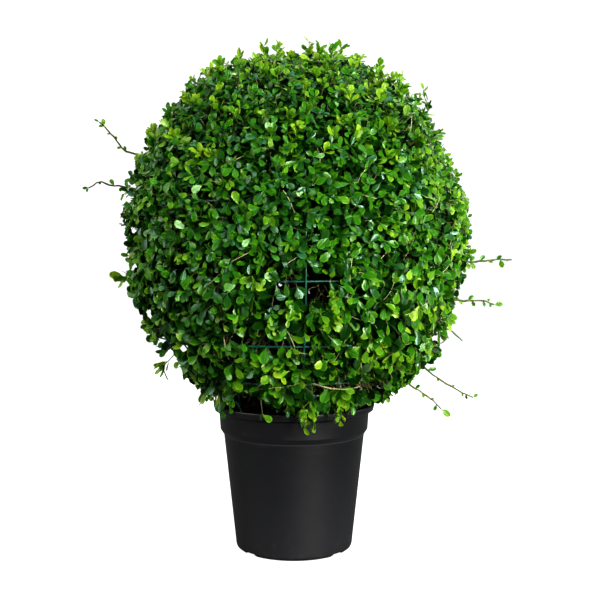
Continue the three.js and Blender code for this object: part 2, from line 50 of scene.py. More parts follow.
# Each soft panel's place, the height on the ball's axis that it faces, its width and height, and its watts.
PANELS = {
    "key": ((1290, -2160, 920), 400, (700, 1500), 126),
    "left": ((-2150, -800, 1350), 450, (1600, 2100), 50),
    "right": ((2300, 500, 1100), 400, (900, 1900), 18),
    "back left": ((-800, 2150, 1900), 500, (2000, 2200), 46),
    "back right": ((800, 2150, 1900), 500, (2000, 2200), 46),
}
PANEL_TINT = (1.0, 0.98, 0.88)
OVERHEAD_TINT = (0.60, 0.88, 0.90)
OVERHEAD_STRENGTH = 1.45
OVERHEAD_SPREAD = 40  # degrees
OVERHEAD_LEAN = (14, 8)  # degrees
AIR_SHOWN = 1.0  # the background, as the camera sees it
AIR_LIGHT = 0.02  # and the even light that comes from it
FLOOR_SIZE = 60000
FLOOR_BELOW = 0.5  # how far it lies under the foot of the pot
FLOOR_GLOW = 0.72  # how much of the pale floor's tone is even, so that the shadow on it stays faint
FLOOR_BRIGHTNESS = 1.08  # of that even tone
FLOOR_BOUNCE = 0.10  # the share of light that the floor throws back up


def clear_selection():
    """Leaves nothing selected."""
    bpy.ops.object.select_all(action="DESELECT")


camera_lens = bpy.data.cameras.new("camera")
camera_lens.lens = LENS
camera_lens.sensor_width = SENSOR
camera = bpy.data.objects.new("camera", camera_lens)
camera.location = [c * MM for c in CAMERA_PLACE]
camera.rotation_euler = (math.radians(90 - CAMERA_DOWN), 0, 0)
bpy.context.scene.collection.objects.link(camera)
bpy.context.scene.camera = camera
bpy.context.scene.view_settings.view_transform = "Standard"
bpy.context.scene.view_settings.look = "Medium High Contrast"

for name, ((right, back, up), faced_height, (width, height), watts) in PANELS.items():
    panel = bpy.data.lights.new(name, "AREA")
    panel.shape = "RECTANGLE"
    panel.size = width * MM
    panel.size_y = height * MM
    panel.energy = watts
    panel.color = PANEL_TINT
    holder = bpy.data.objects.new(name, panel)
    holder.location = (right * MM, back * MM, up * MM)
    down = math.atan2(math.hypot(right, back), up - faced_height)
    holder.rotation_euler = (down, 0, math.atan2(right, -back))
    holder.visible_camera = False
    bpy.context.scene.collection.objects.link(holder)

overhead = bpy.data.lights.new("overhead", "SUN")
overhead.energy = OVERHEAD_STRENGTH
overhead.angle = math.radians(OVERHEAD_SPREAD)
overhead.color = OVERHEAD_TINT
overhead_holder = bpy.data.objects.new("overhead", overhead)
overhead_holder.rotation_euler = (*(math.radians(lean) for lean in OVERHEAD_LEAN), 0)
bpy.context.scene.collection.objects.link(overhead_holder)

sky = bpy.data.worlds.new("studio_air")
sky.use_nodes = True
sky_nodes, sky_links = sky.node_tree.nodes, sky.node_tree.links
sky_nodes["Background"].inputs["Color"].default_value = (1, 1, 1, 1)
sky_seen = sky_nodes.new("ShaderNodeLightPath")
sky_share = sky_nodes.new("ShaderNodeMapRange")
sky_share.inputs["To Min"].default_value = AIR_LIGHT
sky_share.inputs["To Max"].default_value = AIR_SHOWN
sky_links.new(sky_seen.outputs["Is Camera Ray"], sky_share.inputs["Value"])
sky_links.new(sky_share.outputs["Result"], sky_nodes["Background"].inputs["Strength"])
bpy.context.scene.world = sky

clear_selection()
bpy.ops.mesh.primitive_plane_add(size=FLOOR_SIZE * MM, location=(0, 0, -FLOOR_BELOW * MM))
floor = bpy.context.active_object
floor.name = "studio_floor"
floor_paint = bpy.data.materials.new("floor_paint")
floor_paint.use_nodes = True
floor_nodes, floor_links = floor_paint.node_tree.nodes, floor_paint.node_tree.links
floor_seen = floor_nodes.new("ShaderNodeLightPath")
floor_mix = floor_nodes.new("ShaderNodeMixShader")
floor_links.new(floor_seen.outputs["Is Camera Ray"], floor_mix.inputs[0])
floor_matt = [floor_nodes.new("ShaderNodeBsdfDiffuse") for _ in range(2)]
for matt, shade in zip(floor_matt, (FLOOR_BOUNCE, 1.0)):
    matt.inputs["Color"].default_value = (shade, shade, shade, 1)
floor_even = floor_nodes.new("ShaderNodeEmission")
floor_even.inputs["Strength"].default_value = FLOOR_BRIGHTNESS
floor_shown = floor_nodes.new("ShaderNodeMixShader")
floor_shown.inputs[0].default_value = FLOOR_GLOW
floor_links.new(floor_matt[1].outputs[0], floor_shown.inputs[1])
floor_links.new(floor_even.outputs[0], floor_shown.inputs[2])
floor_links.new(floor_matt[0].outputs[0], floor_mix.inputs[1])
floor_links.new(floor_shown.outputs[0], floor_mix.inputs[2])
floor_links.new(floor_mix.outputs[0], floor_nodes["Material Output"].inputs["Surface"])
floor.data.materials.append(floor_paint)

# Pot: one injection-moulded shell of black polypropylene with a stepped collar, a flared lip and a foot ring.
# The wall is turned from its outline, and drain notches and holes are cut through the foot.

POT_RIM_RADIUS = 158.5
POT_HEIGHT = 287.5
POT_WALL = 2.6
LIP_HEIGHT = 12
LIP_SLOPE = 4.5
COLLAR_TOP_RADIUS = 147.8
COLLAR_FOOT_RADIUS = 145.6
COLLAR_HEIGHT = 33
STEP_HEIGHT = 11
BODY_TOP_RADIUS = 138.6
BODY_FOOT_RADIUS = 115
FOOT_EDGE = 9
BOTTOM_ROUND = [(4.6, 1.9), (2.0, 3.6), (0.7, 6.0)]  # how far in it lies and how high, from the foot up
COLLAR_LEDGE = (1, 2)  # the small round at the collar's foot: in and down
LIP_LEAN = 1.6  # the lip's upright part leans out by this
LIP_ROUND = (0.8, 1.5)  # the small round at the lip's outer edge: in and down
LIP_INNER_ROUND = 0.4  # and at its inner edge
FOOT_RADIUS = 108
FOOT_WIDTH = 14
FLOOR_UNDERSIDE = 6
FLOOR_THICKNESS = 3
NOTCH_ANGLES = [-50, 50, 130, -130]  # degrees from the front
NOTCH_WIDTH = 34
DRAIN_RADIUS = 6.5
POT_TURNS = 144
CORNER_ROUNDING = 0.8
NOTCH_ROUNDING = 1.6
SPLASH_FROM = 12  # pale splashes fade upwards from this height
SPLASH_FADE = 60
DUST_AND_SHADE_FADE = 250  # and a dull film fades upwards over this; it is partly real dust and partly painted shade, leaving the top of the pot darker where the crown shades it
CREASE_REFLECTION_REACH = 7  # how far a painted reflection reaches to either side of the crease under the collar: the downward-facing step is made paler, as if it mirrored a bright floor
LIP_HIGHLIGHT_WIDTH = 1.6  # widths of the painted highlight lines along the lip
COLLAR_HIGHLIGHT_WIDTH = 1.8  # and along the foot of the step
BLACKS = [(0.0022, 0.0024, 0.0036, 1), (0.0042, 0.0045, 0.0064, 1)]
# The film's grey serves both the dust film and the painted reflection on the step.
FILM_AND_REFLECTION_GREY = (0.0125, 0.0130, 0.0165, 1)
SCUFF_GREY = (0.030, 0.029, 0.028, 1)
# The pale grey of the painted highlight lines.
HIGHLIGHT_GREY = (0.036, 0.036, 0.039, 1)

rim_base = POT_HEIGHT - LIP_HEIGHT
collar_top = rim_base - LIP_SLOPE
collar_foot = collar_top - COLLAR_HEIGHT
body_top = collar_foot - STEP_HEIGHT
floor_top = FLOOR_UNDERSIDE + FLOOR_THICKNESS

# The wall's outer outline from the rounded bottom edge to the rim, as (radius, height).
wall_outline = [
    *[(BODY_FOOT_RADIUS - inwards, height) for inwards, height in BOTTOM_ROUND],
    (BODY_FOOT_RADIUS, FOOT_EDGE),
    (BODY_TOP_RADIUS, body_top),
    (COLLAR_FOOT_RADIUS - COLLAR_LEDGE[0], collar_foot - COLLAR_LEDGE[1]),
    (COLLAR_FOOT_RADIUS, collar_foot),
    (COLLAR_TOP_RADIUS, collar_top),
    (POT_RIM_RADIUS - LIP_LEAN, rim_base),
    (POT_RIM_RADIUS, POT_HEIGHT - LIP_ROUND[1]),
]


def inner_outline(clearance):
    """The wall's inner face from the rim down to the floor, drawn in by a clearance."""
    above = wall_outline[4:][::-1] + [(BODY_FOOT_RADIUS, floor_top + clearance)]
    return [(r - POT_WALL - clearance, z) for r, z in above]


def pick(piece):
    """Makes a piece the only one that is selected."""
    clear_selection()
    bpy.context.view_layer.objects.active = piece
    piece.select_set(True)


def smooth(piece, degrees):
    """Shades a piece smooth, apart from edges sharper than an angle."""
    pick(piece)
    bpy.ops.object.shade_smooth_by_angle(angle=math.radians(degrees))


def turned(name, outline, rounding, turns):
    """A closed solid turned about the upright axis from (radius, height) points, with rounded corners."""
    clear_selection()
    bpy.ops.mesh.primitive_plane_add(size=MM)
    piece = bpy.context.active_object
    piece.name = name
    bpy.ops.object.mode_set(mode="EDIT")
    bpy.ops.mesh.merge(type="CENTER")
    bpy.ops.transform.translate(value=(outline[0][0] * MM, 0, outline[0][1] * MM))
    for (r0, z0), (r1, z1) in zip(outline, outline[1:]):
        step = ((r1 - r0) * MM, 0, (z1 - z0) * MM)
        bpy.ops.mesh.extrude_region_move(TRANSFORM_OT_translate={"value": step})
    bpy.ops.mesh.select_all(action="SELECT")
    if rounding:
        bpy.ops.mesh.bevel(offset=rounding * MM, segments=3, affect="VERTICES", clamp_overlap=True)
    bpy.ops.mesh.select_all(action="SELECT")
    bpy.ops.mesh.spin(steps=turns, angle=2 * math.pi, center=(0, 0, 0), axis=(0, 0, 1))
    bpy.ops.mesh.select_all(action="SELECT")
    bpy.ops.mesh.remove_doubles(threshold=0.005 * MM)
    bpy.ops.mesh.normals_make_consistent(inside=False)
    bpy.ops.object.mode_set(mode="OBJECT")
    return piece


def cut_away(piece, cutter):
    """Takes the cutter's shape out of a piece and removes the cutter."""
    pick(piece)
    cut = piece.modifiers.new("cut", "BOOLEAN")
    cut.object = cutter
    cut.operation = "DIFFERENCE"
    cut.solver = "EXACT"
    bpy.ops.object.modifier_apply(modifier=cut.name)
    bpy.data.objects.remove(cutter)


def place_applied(piece):
    """Moves a piece's place and turn into its mesh, so that its object sits at the origin."""
    pick(piece)
    bpy.ops.object.transform_apply(location=True, rotation=True, scale=True)


class Value:
    """A socket of a finish, on which sums are written as on a number."""

    def __init__(self, finish, socket):
        self.finish = finish
        self.socket = socket

    def sum_of(self, operation, first, second):
        """One sum of two values or numbers, as a node."""
        return self.finish.node("ShaderNodeMath", {0: first, 1: second}, {"operation": operation})

    def __add__(self, other):
        return self.sum_of("ADD", self, other)

    def __sub__(self, other):
        return self.sum_of("SUBTRACT", self, other)

    def __rsub__(self, other):
        return self.sum_of("SUBTRACT", other, self)

    def __mul__(self, other):
        return self.sum_of("MULTIPLY", self, other)

    def __truediv__(self, other):
        return self.sum_of("DIVIDE", self, other)

    def __rtruediv__(self, other):
        return self.sum_of("DIVIDE", other, self)

    def __abs__(self):
        return self.sum_of("ABSOLUTE", self, 0)

    __radd__ = __add__
    __rmul__ = __mul__

    def clipped(self, low=0, high=1):
        """How far a value stands between low and high, kept to 0 to 1."""
        return self.finish.node("ShaderNodeMapRange", {"Value": self, "From Min": low, "From Max": high})


class Finish:
    """A material: its shader's own constant values, and nodes that are added one at a time."""

    def __init__(self, name, constants):
        self.material = bpy.data.materials.new(name)
        self.material.use_nodes = True
        self.tree = self.material.node_tree
        self.shader = self.tree.nodes["Principled BSDF"]
        for socket, value in constants.items():
            self.shader.inputs[socket].default_value = value

    def feed(self, socket, value):
        """Links a Value to a socket, or sets a number or colour on it."""
        if isinstance(value, Value):
            self.tree.links.new(value.socket, socket)
        else:
            socket.default_value = value

    def node(self, kind, sockets=None, settings=None, output=0):
        """Adds a node with its sockets fed and its settings made, and gives one of its outputs."""
        made = self.tree.nodes.new(kind)
        for key, value in (settings or {}).items():
            setattr(made, key, value)
        for key, value in (sockets or {}).items():
            self.feed(made.inputs[key], value)
        return Value(self, made.outputs[output])

    def place(self, scale=(1, 1, 1)):
        """Where a point lies on the object, in metres, stretched by a scale."""
        spot = self.node("ShaderNodeTexCoord", output="Object")
        return self.node("ShaderNodeMapping", {"Vector": spot, "Scale": scale})

    def noise(self, place, scale, detail=3, roughness=0.55):
        """Uneven cloud from 0 to 1. The greater the scale, the finer it is."""
        sockets = {"Vector": place, "Scale": scale, "Detail": detail, "Roughness": roughness}
        return self.node("ShaderNodeTexNoise", sockets)

    def blend(self, share, first, second):
        """A colour between two, as a share from 0 to 1 says."""
        return self.node("ShaderNodeMix", {0: share, 6: first, 7: second}, {"data_type": "RGBA"}, output=2)

    def bump(self, height, strength, distance):
        """A surface that rises with a height, by up to a distance in metres."""
        return self.node("ShaderNodeBump", {"Height": height, "Strength": strength, "Distance": distance})

    def show(self, **links):
        """Feeds Base_Color, Roughness and Normal of the shader."""
        for socket, value in links.items():
            self.feed(self.shader.inputs[socket.replace("_", " ")], value)


pot = turned(
    "pot_shell",
    [
        (0, FLOOR_UNDERSIDE),
        (FOOT_RADIUS - FOOT_WIDTH, FLOOR_UNDERSIDE),
        (FOOT_RADIUS - FOOT_WIDTH, 0),
        (FOOT_RADIUS, 0),
        *wall_outline,
        (POT_RIM_RADIUS - LIP_ROUND[0], POT_HEIGHT),
        (POT_RIM_RADIUS - POT_WALL + LIP_INNER_ROUND, POT_HEIGHT),
        *inner_outline(0)[1:],
        (0, floor_top),
    ],
    rounding=CORNER_ROUNDING,
    turns=POT_TURNS,
)
for angle in NOTCH_ANGLES:
    turn = math.radians(angle)
    right, back = math.sin(turn), -math.cos(turn)
    clear_selection()
    notch_at = FOOT_RADIUS * MM
    bpy.ops.mesh.primitive_cube_add(size=1, location=(right * notch_at, back * notch_at, 0))
    notch = bpy.context.active_object
    notch.scale = (NOTCH_WIDTH * MM, (2 * FOOT_WIDTH + 8) * MM, 2 * FLOOR_UNDERSIDE * MM)
    notch.rotation_euler = (0, 0, turn)
    place_applied(notch)
    bpy.ops.object.mode_set(mode="EDIT")
    bpy.ops.mesh.select_all(action="SELECT")
    bpy.ops.mesh.bevel(offset=NOTCH_ROUNDING * MM, segments=3)
    bpy.ops.object.mode_set(mode="OBJECT")
    cut_away(pot, notch)
    drain_at = (FOOT_RADIUS - FOOT_WIDTH / 2) * MM
    clear_selection()
    bpy.ops.mesh.primitive_cylinder_add(
        vertices=32,
        radius=DRAIN_RADIUS * MM,
        depth=4 * floor_top * MM,
        location=(right * drain_at, back * drain_at, 0),
    )
    drain = bpy.context.active_object
    place_applied(drain)
    cut_away(pot, drain)
smooth(pot, 32)

pot_gloss = {"Specular IOR Level": 0.48, "IOR": 1.5, "Specular Tint": (0.96, 0.94, 1.0, 1)}
pot_plastic = Finish("pot_plastic", pot_gloss)
pot_place = pot_plastic.place()
mottle = pot_plastic.noise(pot_place, 9, detail=4)
grain = pot_plastic.noise(pot_place, 1400, detail=2)
scuffs = pot_plastic.noise(pot_plastic.place((1, 1, 7)), 26, detail=5, roughness=0.7).clipped(0.58, 0.8)
pot_height = pot_plastic.node("ShaderNodeSeparateXYZ", {0: pot_place}, output=2)
splash = (1 - (pot_height - SPLASH_FROM * MM) / (SPLASH_FADE * MM)).clipped()
splash = splash * pot_plastic.noise(pot_place, 60).clipped(0.5, 0.72)
black = pot_plastic.blend(mottle, *BLACKS)
# Partly real dust and partly painted shade: a pale film that thickens towards the foot, so that the collar
# and the top of the wall stay darker, as in the crown's shadow.
dust_and_shade = (0.95 - pot_height / (DUST_AND_SHADE_FADE * MM)).clipped() * (0.85 + mottle * 0.3)
# Painted reflection: the step under the collar faces down, and it is made paler with the film's grey, as if
# it mirrored a bright floor.
crease_height = (collar_foot - STEP_HEIGHT / 2) * MM
crease_reflection = (1 - abs(pot_height - crease_height) / (CREASE_REFLECTION_REACH * MM)).clipped()
black = pot_plastic.blend((dust_and_shade + crease_reflection * 0.45).clipped(), black, FILM_AND_REFLECTION_GREY)
# Painted highlights: thin pale lines along the lip's lower edge and along the foot of the step, broken up by
# noise, where those edges would catch light.
lip_highlight = 1 - (abs(pot_height - rim_base * MM) / (LIP_HIGHLIGHT_WIDTH * MM)).clipped()
collar_highlight = 1 - (abs(pot_height - (body_top + 0.4) * MM) / (COLLAR_HIGHLIGHT_WIDTH * MM)).clipped()
edge_highlights = (lip_highlight * 0.45 + collar_highlight) * (pot_plastic.noise(pot_place, 30) * 0.7 + 0.5)
# Real scuffs and pale splashes first, and then the painted highlight lines over them.
worn_and_highlit = pot_plastic.blend((scuffs * 0.3 + splash * 0.35).clipped(), black, SCUFF_GREY)
worn_and_highlit = pot_plastic.blend(edge_highlights.clipped(), worn_and_highlit, HIGHLIGHT_GREY)
pot_plastic.show(
    Base_Color=worn_and_highlit,
    Roughness=0.335 + dust_and_shade * 0.11 + mottle * 0.08 + scuffs * 0.12,
    Normal=pot_plastic.bump(grain + mottle * 0.4, 0.16, 0.0004),
)
pot.data.materials.append(pot_plastic.material)
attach(pot, "root")
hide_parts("pot")

# Root ball: dark peat and bark fines, packed to a little below the rim and settled unevenly.
# The peat is one lump, and loose crumbs of bark lie on it.

SOIL_BELOW_RIM = 20
SOIL_EDGE = 143.2  # radius of its surface
GAP = 0.3
SOIL_RINGS = 22
SOIL_TURNS = 96
SOIL_ROUNDING = 0.1
SOIL_UNEVENNESS = 2.2
SOIL_TONES = [(0.010, 0.006, 0.004, 1), (0.055, 0.034, 0.020, 1)]
CRUMB_COUNT = 1500
CRUMB_SIZES = (1.2, 4.2)
CRUMB_LIFT = 0.8  # above the flat surface

soil_top = POT_HEIGHT - SOIL_BELOW_RIM
soil_wall = [(r, z) for r, z in inner_outline(GAP) if z < soil_top]


def new_piece(name, vertices, triangles, finish, spots=None):
    """A smooth mesh from arrays: millimetre vertices, triangles, and each vertex's place on its own map."""
    mesh = bpy.data.meshes.new(name)
    mesh.vertices.add(len(vertices))
    mesh.vertices.foreach_set("co", (vertices * MM).astype(np.float32).ravel())
    mesh.loops.add(3 * len(triangles))
    mesh.loops.foreach_set("vertex_index", triangles.astype(np.int32).ravel())
    mesh.polygons.add(len(triangles))
    mesh.polygons.foreach_set("loop_start", np.arange(0, 3 * len(triangles), 3, dtype=np.int32))
    mesh.polygons.foreach_set("use_smooth", np.ones(len(triangles), dtype=bool))
    if spots is not None:
        own_map = mesh.uv_layers.new(name="own_map")
        own_map.data.foreach_set("uv", spots[triangles.ravel()].astype(np.float32).ravel())
    mesh.update()
    mesh.materials.append(finish.material)
    piece = bpy.data.objects.new(name, mesh)
    bpy.context.scene.collection.objects.link(piece)
    return piece


def many(shape, faces, centres, sides, sizes):
    """Copies of one small shape in joined arrays. sides holds three axes for each copy."""
    placed = np.einsum("nka,nab->nkb", shape[None] * sizes[:, None, None], sides) + centres[:, None]
    first = np.arange(len(centres))[:, None, None] * shape.shape[0]
    return placed.reshape(-1, 3), (faces[None] + first).reshape(-1, 3)


def turned_at_random(count, chance):
    """Three square axes for each of a number of copies, turned at random."""
    first = chance.normal(size=(count, 3))
    first /= np.linalg.norm(first, axis=1, keepdims=True)
    second = np.cross(first, chance.normal(size=(count, 3)))
    second /= np.linalg.norm(second, axis=1, keepdims=True)
    return np.stack([first, second, np.cross(first, second)], axis=1)


soil_face = [(SOIL_EDGE * (1 - i / SOIL_RINGS), soil_top) for i in range(SOIL_RINGS + 1)]
soil_outline = [(0, floor_top + GAP), *soil_wall[::-1], *soil_face]
peat = turned("peat", soil_outline, rounding=SOIL_ROUNDING, turns=SOIL_TURNS)
bpy.ops.object.mode_set(mode="EDIT")
bpy.ops.mesh.select_all(action="DESELECT")
bpy.ops.object.mode_set(mode="OBJECT")
for vertex in peat.data.vertices:
    radius = math.hypot(vertex.co.x, vertex.co.y)
    vertex.select = vertex.co.z > (soil_top - 1) * MM and radius < (SOIL_EDGE - 3) * MM
bpy.ops.object.mode_set(mode="EDIT")
bpy.ops.transform.vertex_random(offset=SOIL_UNEVENNESS * MM, uniform=0.6, normal=0.4, seed=4)
bpy.ops.object.mode_set(mode="OBJECT")
smooth(peat, 50)

soil_finish = Finish("soil", {"Roughness": 0.95, "Specular IOR Level": 0.15})
soil_place = soil_finish.place()
fines = soil_finish.noise(soil_place, 180, detail=5, roughness=0.7)
soil_finish.show(
    Base_Color=soil_finish.blend(fines, *SOIL_TONES),
    Normal=soil_finish.bump(fines, 0.7, 0.003),
)
peat.data.materials.append(soil_finish.material)
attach(peat, "root")
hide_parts("root_ball")

crumb_chance = np.random.default_rng(11)
crumb_shape = np.array(
    [[1, 0, 0.1], [-0.9, 0.1, 0], [0.1, 0.8, -0.1], [0, -0.7, 0.1], [0.1, 0.1, 0.5], [-0.1, 0, -0.5]]
)
crumb_faces = np.array(
    [[0, 2, 4], [2, 1, 4], [1, 3, 4], [3, 0, 4], [2, 0, 5], [1, 2, 5], [3, 1, 5], [0, 3, 5]]
)
crumb_radius = (SOIL_EDGE - 4) * np.sqrt(crumb_chance.uniform(0.03, 1, CRUMB_COUNT))
crumb_turn = crumb_chance.uniform(0, 2 * np.pi, CRUMB_COUNT)
crumb_height = np.full(CRUMB_COUNT, soil_top + CRUMB_LIFT)
crumb_places = [crumb_radius * np.cos(crumb_turn), crumb_radius * np.sin(crumb_turn), crumb_height]
crumb_places = np.stack(crumb_places, axis=1)
crumb_sizes = crumb_chance.uniform(*CRUMB_SIZES, CRUMB_COUNT) ** 1.1
crumb_axes = turned_at_random(CRUMB_COUNT, crumb_chance)
crumb_arrays = many(crumb_shape, crumb_faces, crumb_places, crumb_axes, crumb_sizes)
crumbs = new_piece("soil_crumbs", *crumb_arrays, soil_finish)
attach(crumbs, "root")

# Trunk: one short grey-brown stem that flares where it meets the peat and sways a little up to its tip.
# It is a round tapering limb whose bark is finely furrowed lengthways.

BALL_CENTRE = 630  # height of the ball's widest part
BALL_RADIUS = 346
BALL_DROP = 352  # from the widest part down to the underside
LOWER_POWER = 2.4  # the lower half is fuller than a true sphere
CORE_INSET = 42  # how far inside the clipped surface the dense foliage of the solids starts
CORE_INSET_DROP = 40
CORE_DROP_POWER = 5
CORE_THICKNESS = 60
STEM_LENGTH = 26
TRUNK_BASE_RADIUS = 17
TRUNK_TIP_RADIUS = 5.5
TRUNK_FLARE = 9
TRUNK_SWAY = 11
TRUNK_ROWS = 150
TRUNK_FURROWS = {"depth": 2.2, "width": 4.5}
BARK_TONES = [(0.030, 0.021, 0.013, 1), (0.150, 0.115, 0.075, 1)]
UP = np.array([0, 0, 1.0])

ball_centre = np.array([0, 0, BALL_CENTRE])


def direction(azimuth, zenith):
    """Unit directions from the ball's centre. Azimuth 0 is the front and 90 the right."""
    a, z = np.radians(azimuth), np.radians(zenith)
    return np.stack([np.sin(z) * np.sin(a), -np.sin(z) * np.cos(a), np.cos(z) + 0 * a], axis=-1)


def reach(ways):
    """Distance from the ball's centre to the clipped surface along unit directions."""
    level = np.hypot(ways[..., 0], ways[..., 1])
    upright = np.abs(ways[..., 2])
    lower = (level / BALL_RADIUS) ** LOWER_POWER + (upright / BALL_DROP) ** LOWER_POWER
    return np.where(ways[..., 2] >= 0, BALL_RADIUS, lower ** (-1 / LOWER_POWER))


def on_ball(ways, inset):
    """Points that lie inside the clipped surface by an inset."""
    return ways * (reach(ways) - inset)[..., None] + ball_centre


def core_inner(ways):
    """Distance from the ball's centre to the inner face of the source's foliage masses."""
    drop = CORE_INSET_DROP * np.maximum(-ways[..., 2], 0) ** CORE_DROP_POWER
    return reach(ways) - (CORE_INSET - drop) - CORE_THICKNESS


trunk_top = BALL_CENTRE + core_inner(UP) - STEM_LENGTH


def trunk_at(height):
    """The trunk's centre line at a height, swaying a little on the way up."""
    share = (height - soil_top) / (trunk_top - soil_top)
    sway = np.sin(share * np.pi) * TRUNK_SWAY
    right, back = np.sin(5.2 * share) * sway, np.cos(4.1 * share) * sway * 0.8
    return np.stack([right, back, height + 0 * share], axis=-1)


def limb(name, points, radii, finish, smoothness):
    """A round limb along a path: a line with a thickness at each point, made into a closed mesh."""
    line = bpy.data.curves.new(name, "CURVE")
    line.dimensions = "3D"
    line.bevel_depth = MM
    line.bevel_resolution = smoothness
    line.use_fill_caps = True
    run = line.splines.new("POLY")
    run.points.add(len(points) - 1)
    for spot, place, radius in zip(run.points, points, radii):
        spot.co = (*(place * MM), 1)
        spot.radius = radius
    piece = bpy.data.objects.new(name, line)
    bpy.context.scene.collection.objects.link(piece)
    pick(piece)
    bpy.ops.object.convert(target="MESH")
    bpy.ops.object.mode_set(mode="EDIT")
    bpy.ops.mesh.select_all(action="SELECT")
    bpy.ops.mesh.remove_doubles(threshold=0.01 * MM)
    bpy.ops.mesh.normals_make_consistent(inside=False)
    bpy.ops.object.mode_set(mode="OBJECT")
    smooth(piece, 60)
    piece.data.materials.clear()
    piece.data.materials.append(finish.material)
    return piece


def furrow(piece, along, depth, width):
    """Moves a limb's bark in and out in furrows that run lengthways, apart from a cut foot on the peat."""
    mesh = piece.data
    count = len(mesh.vertices)
    places = np.empty(count * 3)
    normals = np.empty(count * 3)
    mesh.vertices.foreach_get("co", places)
    mesh.vertex_normals.foreach_get("vector", normals)
    places, normals = places.reshape(-1, 3), normals.reshape(-1, 3)
    spots = (places - np.outer(places @ along, along) * 0.82) / (width * MM)
    swell = np.zeros(count)
    for scale, share in [(1, 0.6), (2.3, 0.3), (5.1, 0.15)]:
        waves = np.array([[1.3, 2.1, 0.7], [-1.9, 0.8, 1.6], [0.6, -1.4, 2.3]]) * scale
        swell += share * np.sin(spots @ waves[0] + 1.7 * np.sin(spots @ waves[1])) * np.cos(spots @ waves[2])
    above_foot = places[:, 2] > (soil_top + 1) * MM
    moved = places + normals * ((np.abs(swell) - 0.45) * depth * MM * above_foot)[:, None]
    mesh.vertices.foreach_set("co", moved.ravel())
    mesh.update()


def bark_finish(name, dark, light):
    """Bark or a twig's skin: fine strands along the upright and broader patches, between two tones."""
    finish = Finish(name, {"Specular IOR Level": 0.25})
    place = finish.place((1, 1, 0.3))
    strands = finish.noise(place, 420, detail=5, roughness=0.65)
    patches = finish.noise(finish.place(), 45, detail=3)
    finish.show(
        Base_Color=finish.blend((strands * 0.7 + patches * 0.5).clipped(0.25, 0.95), dark, light),
        Roughness=0.72 + strands * 0.2,
        Normal=finish.bump(strands, 0.5, 0.0012),
    )
    return finish


bark = bark_finish("bark", *BARK_TONES)
trunk_shares = np.linspace(0, 1, TRUNK_ROWS) ** 1.2
trunk_heights = soil_top + GAP + (trunk_top - soil_top - GAP) * trunk_shares
trunk_radii = TRUNK_BASE_RADIUS + (TRUNK_TIP_RADIUS - TRUNK_BASE_RADIUS) * trunk_shares
trunk_radii = trunk_radii + TRUNK_FLARE * np.exp(-16 * trunk_shares)
trunk_line = trunk_at(trunk_heights)
trunk = limb("trunk_bark", trunk_line, trunk_radii, bark, smoothness=8)
furrow(trunk, UP, **TRUNK_FURROWS)
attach(trunk, "root")
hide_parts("trunk")

# Boughs: two tiers of tapering limbs, five above and six below, that fork off the trunk inside the ball.
# They rise out of the trunk with a crook and level off where their foliage starts.

TIERS = [
    {"name": "upper", "count": 5, "zenith": 61, "turn": 18, "from": (505, 600), "root": 8, "tip": 4.6},
    {"name": "lower", "count": 6, "zenith": 113, "turn": 0, "from": (345, 440), "root": 9.5, "tip": 5},
]
BOUGH_ROWS = 48
BOUGH_FURROWS = {"depth": 1.2, "width": 3}
CROOK_AT = 0.45  # share of the way out
CROOK_RISE = (16, 12)  # always, and by chance
CROOK_SIDEWAYS = 16
LEVEL_RUN = (26, 14)  # the last stretch: inwards and down from the tip
TOP_FROM = 640  # height from which the trunk carries the top mass
WORD = 0xFFFFFFFF  # the largest number of 32 bits


def dealt_numbers(seed):
    """The source's seeded random numbers from 0 to 1."""
    state = seed
    while True:
        state = (state + 0x6D2B79F5) & WORD
        mixed = ((state ^ (state >> 15)) * (1 | state)) & WORD
        mixed = ((mixed + (((mixed ^ (mixed >> 7)) * (61 | mixed)) & WORD)) & WORD) ^ mixed
        yield (mixed ^ (mixed >> 14)) / (WORD + 1)


def smooth_path(points, rows):
    """A path at even steps through the given points, rounded in proportion to their spacing."""
    points = np.array(points, dtype=float)
    ends = [2 * points[0] - points[1], *points, 2 * points[-1] - points[-2]]
    dense = [points[0]]
    for p0, p1, p2, p3 in zip(ends, ends[1:], ends[2:], ends[3:]):
        d0, d1, d2 = (math.sqrt(np.linalg.norm(b - a)) for a, b in ((p0, p1), (p1, p2), (p2, p3)))
        t1 = ((p1 - p0) / d0 - (p2 - p0) / (d0 + d1) + (p2 - p1) / d1) * d1
        t2 = ((p2 - p1) / d1 - (p3 - p1) / (d1 + d2) + (p3 - p2) / d2) * d1
        for t in np.linspace(0, 1, 25)[1:]:
            cubic = 2 * p1 - 2 * p2 + t1 + t2
            square = -3 * p1 + 3 * p2 - 2 * t1 - t2
            dense.append(((cubic * t + square) * t + t1) * t + p1)
    dense = np.array(dense)
    run = np.concatenate([[0], np.cumsum(np.linalg.norm(np.diff(dense, axis=0), axis=1))])
    stops = np.linspace(0, run[-1], rows)
    return np.stack([np.interp(stops, run, dense[:, axis]) for axis in range(3)], axis=1)


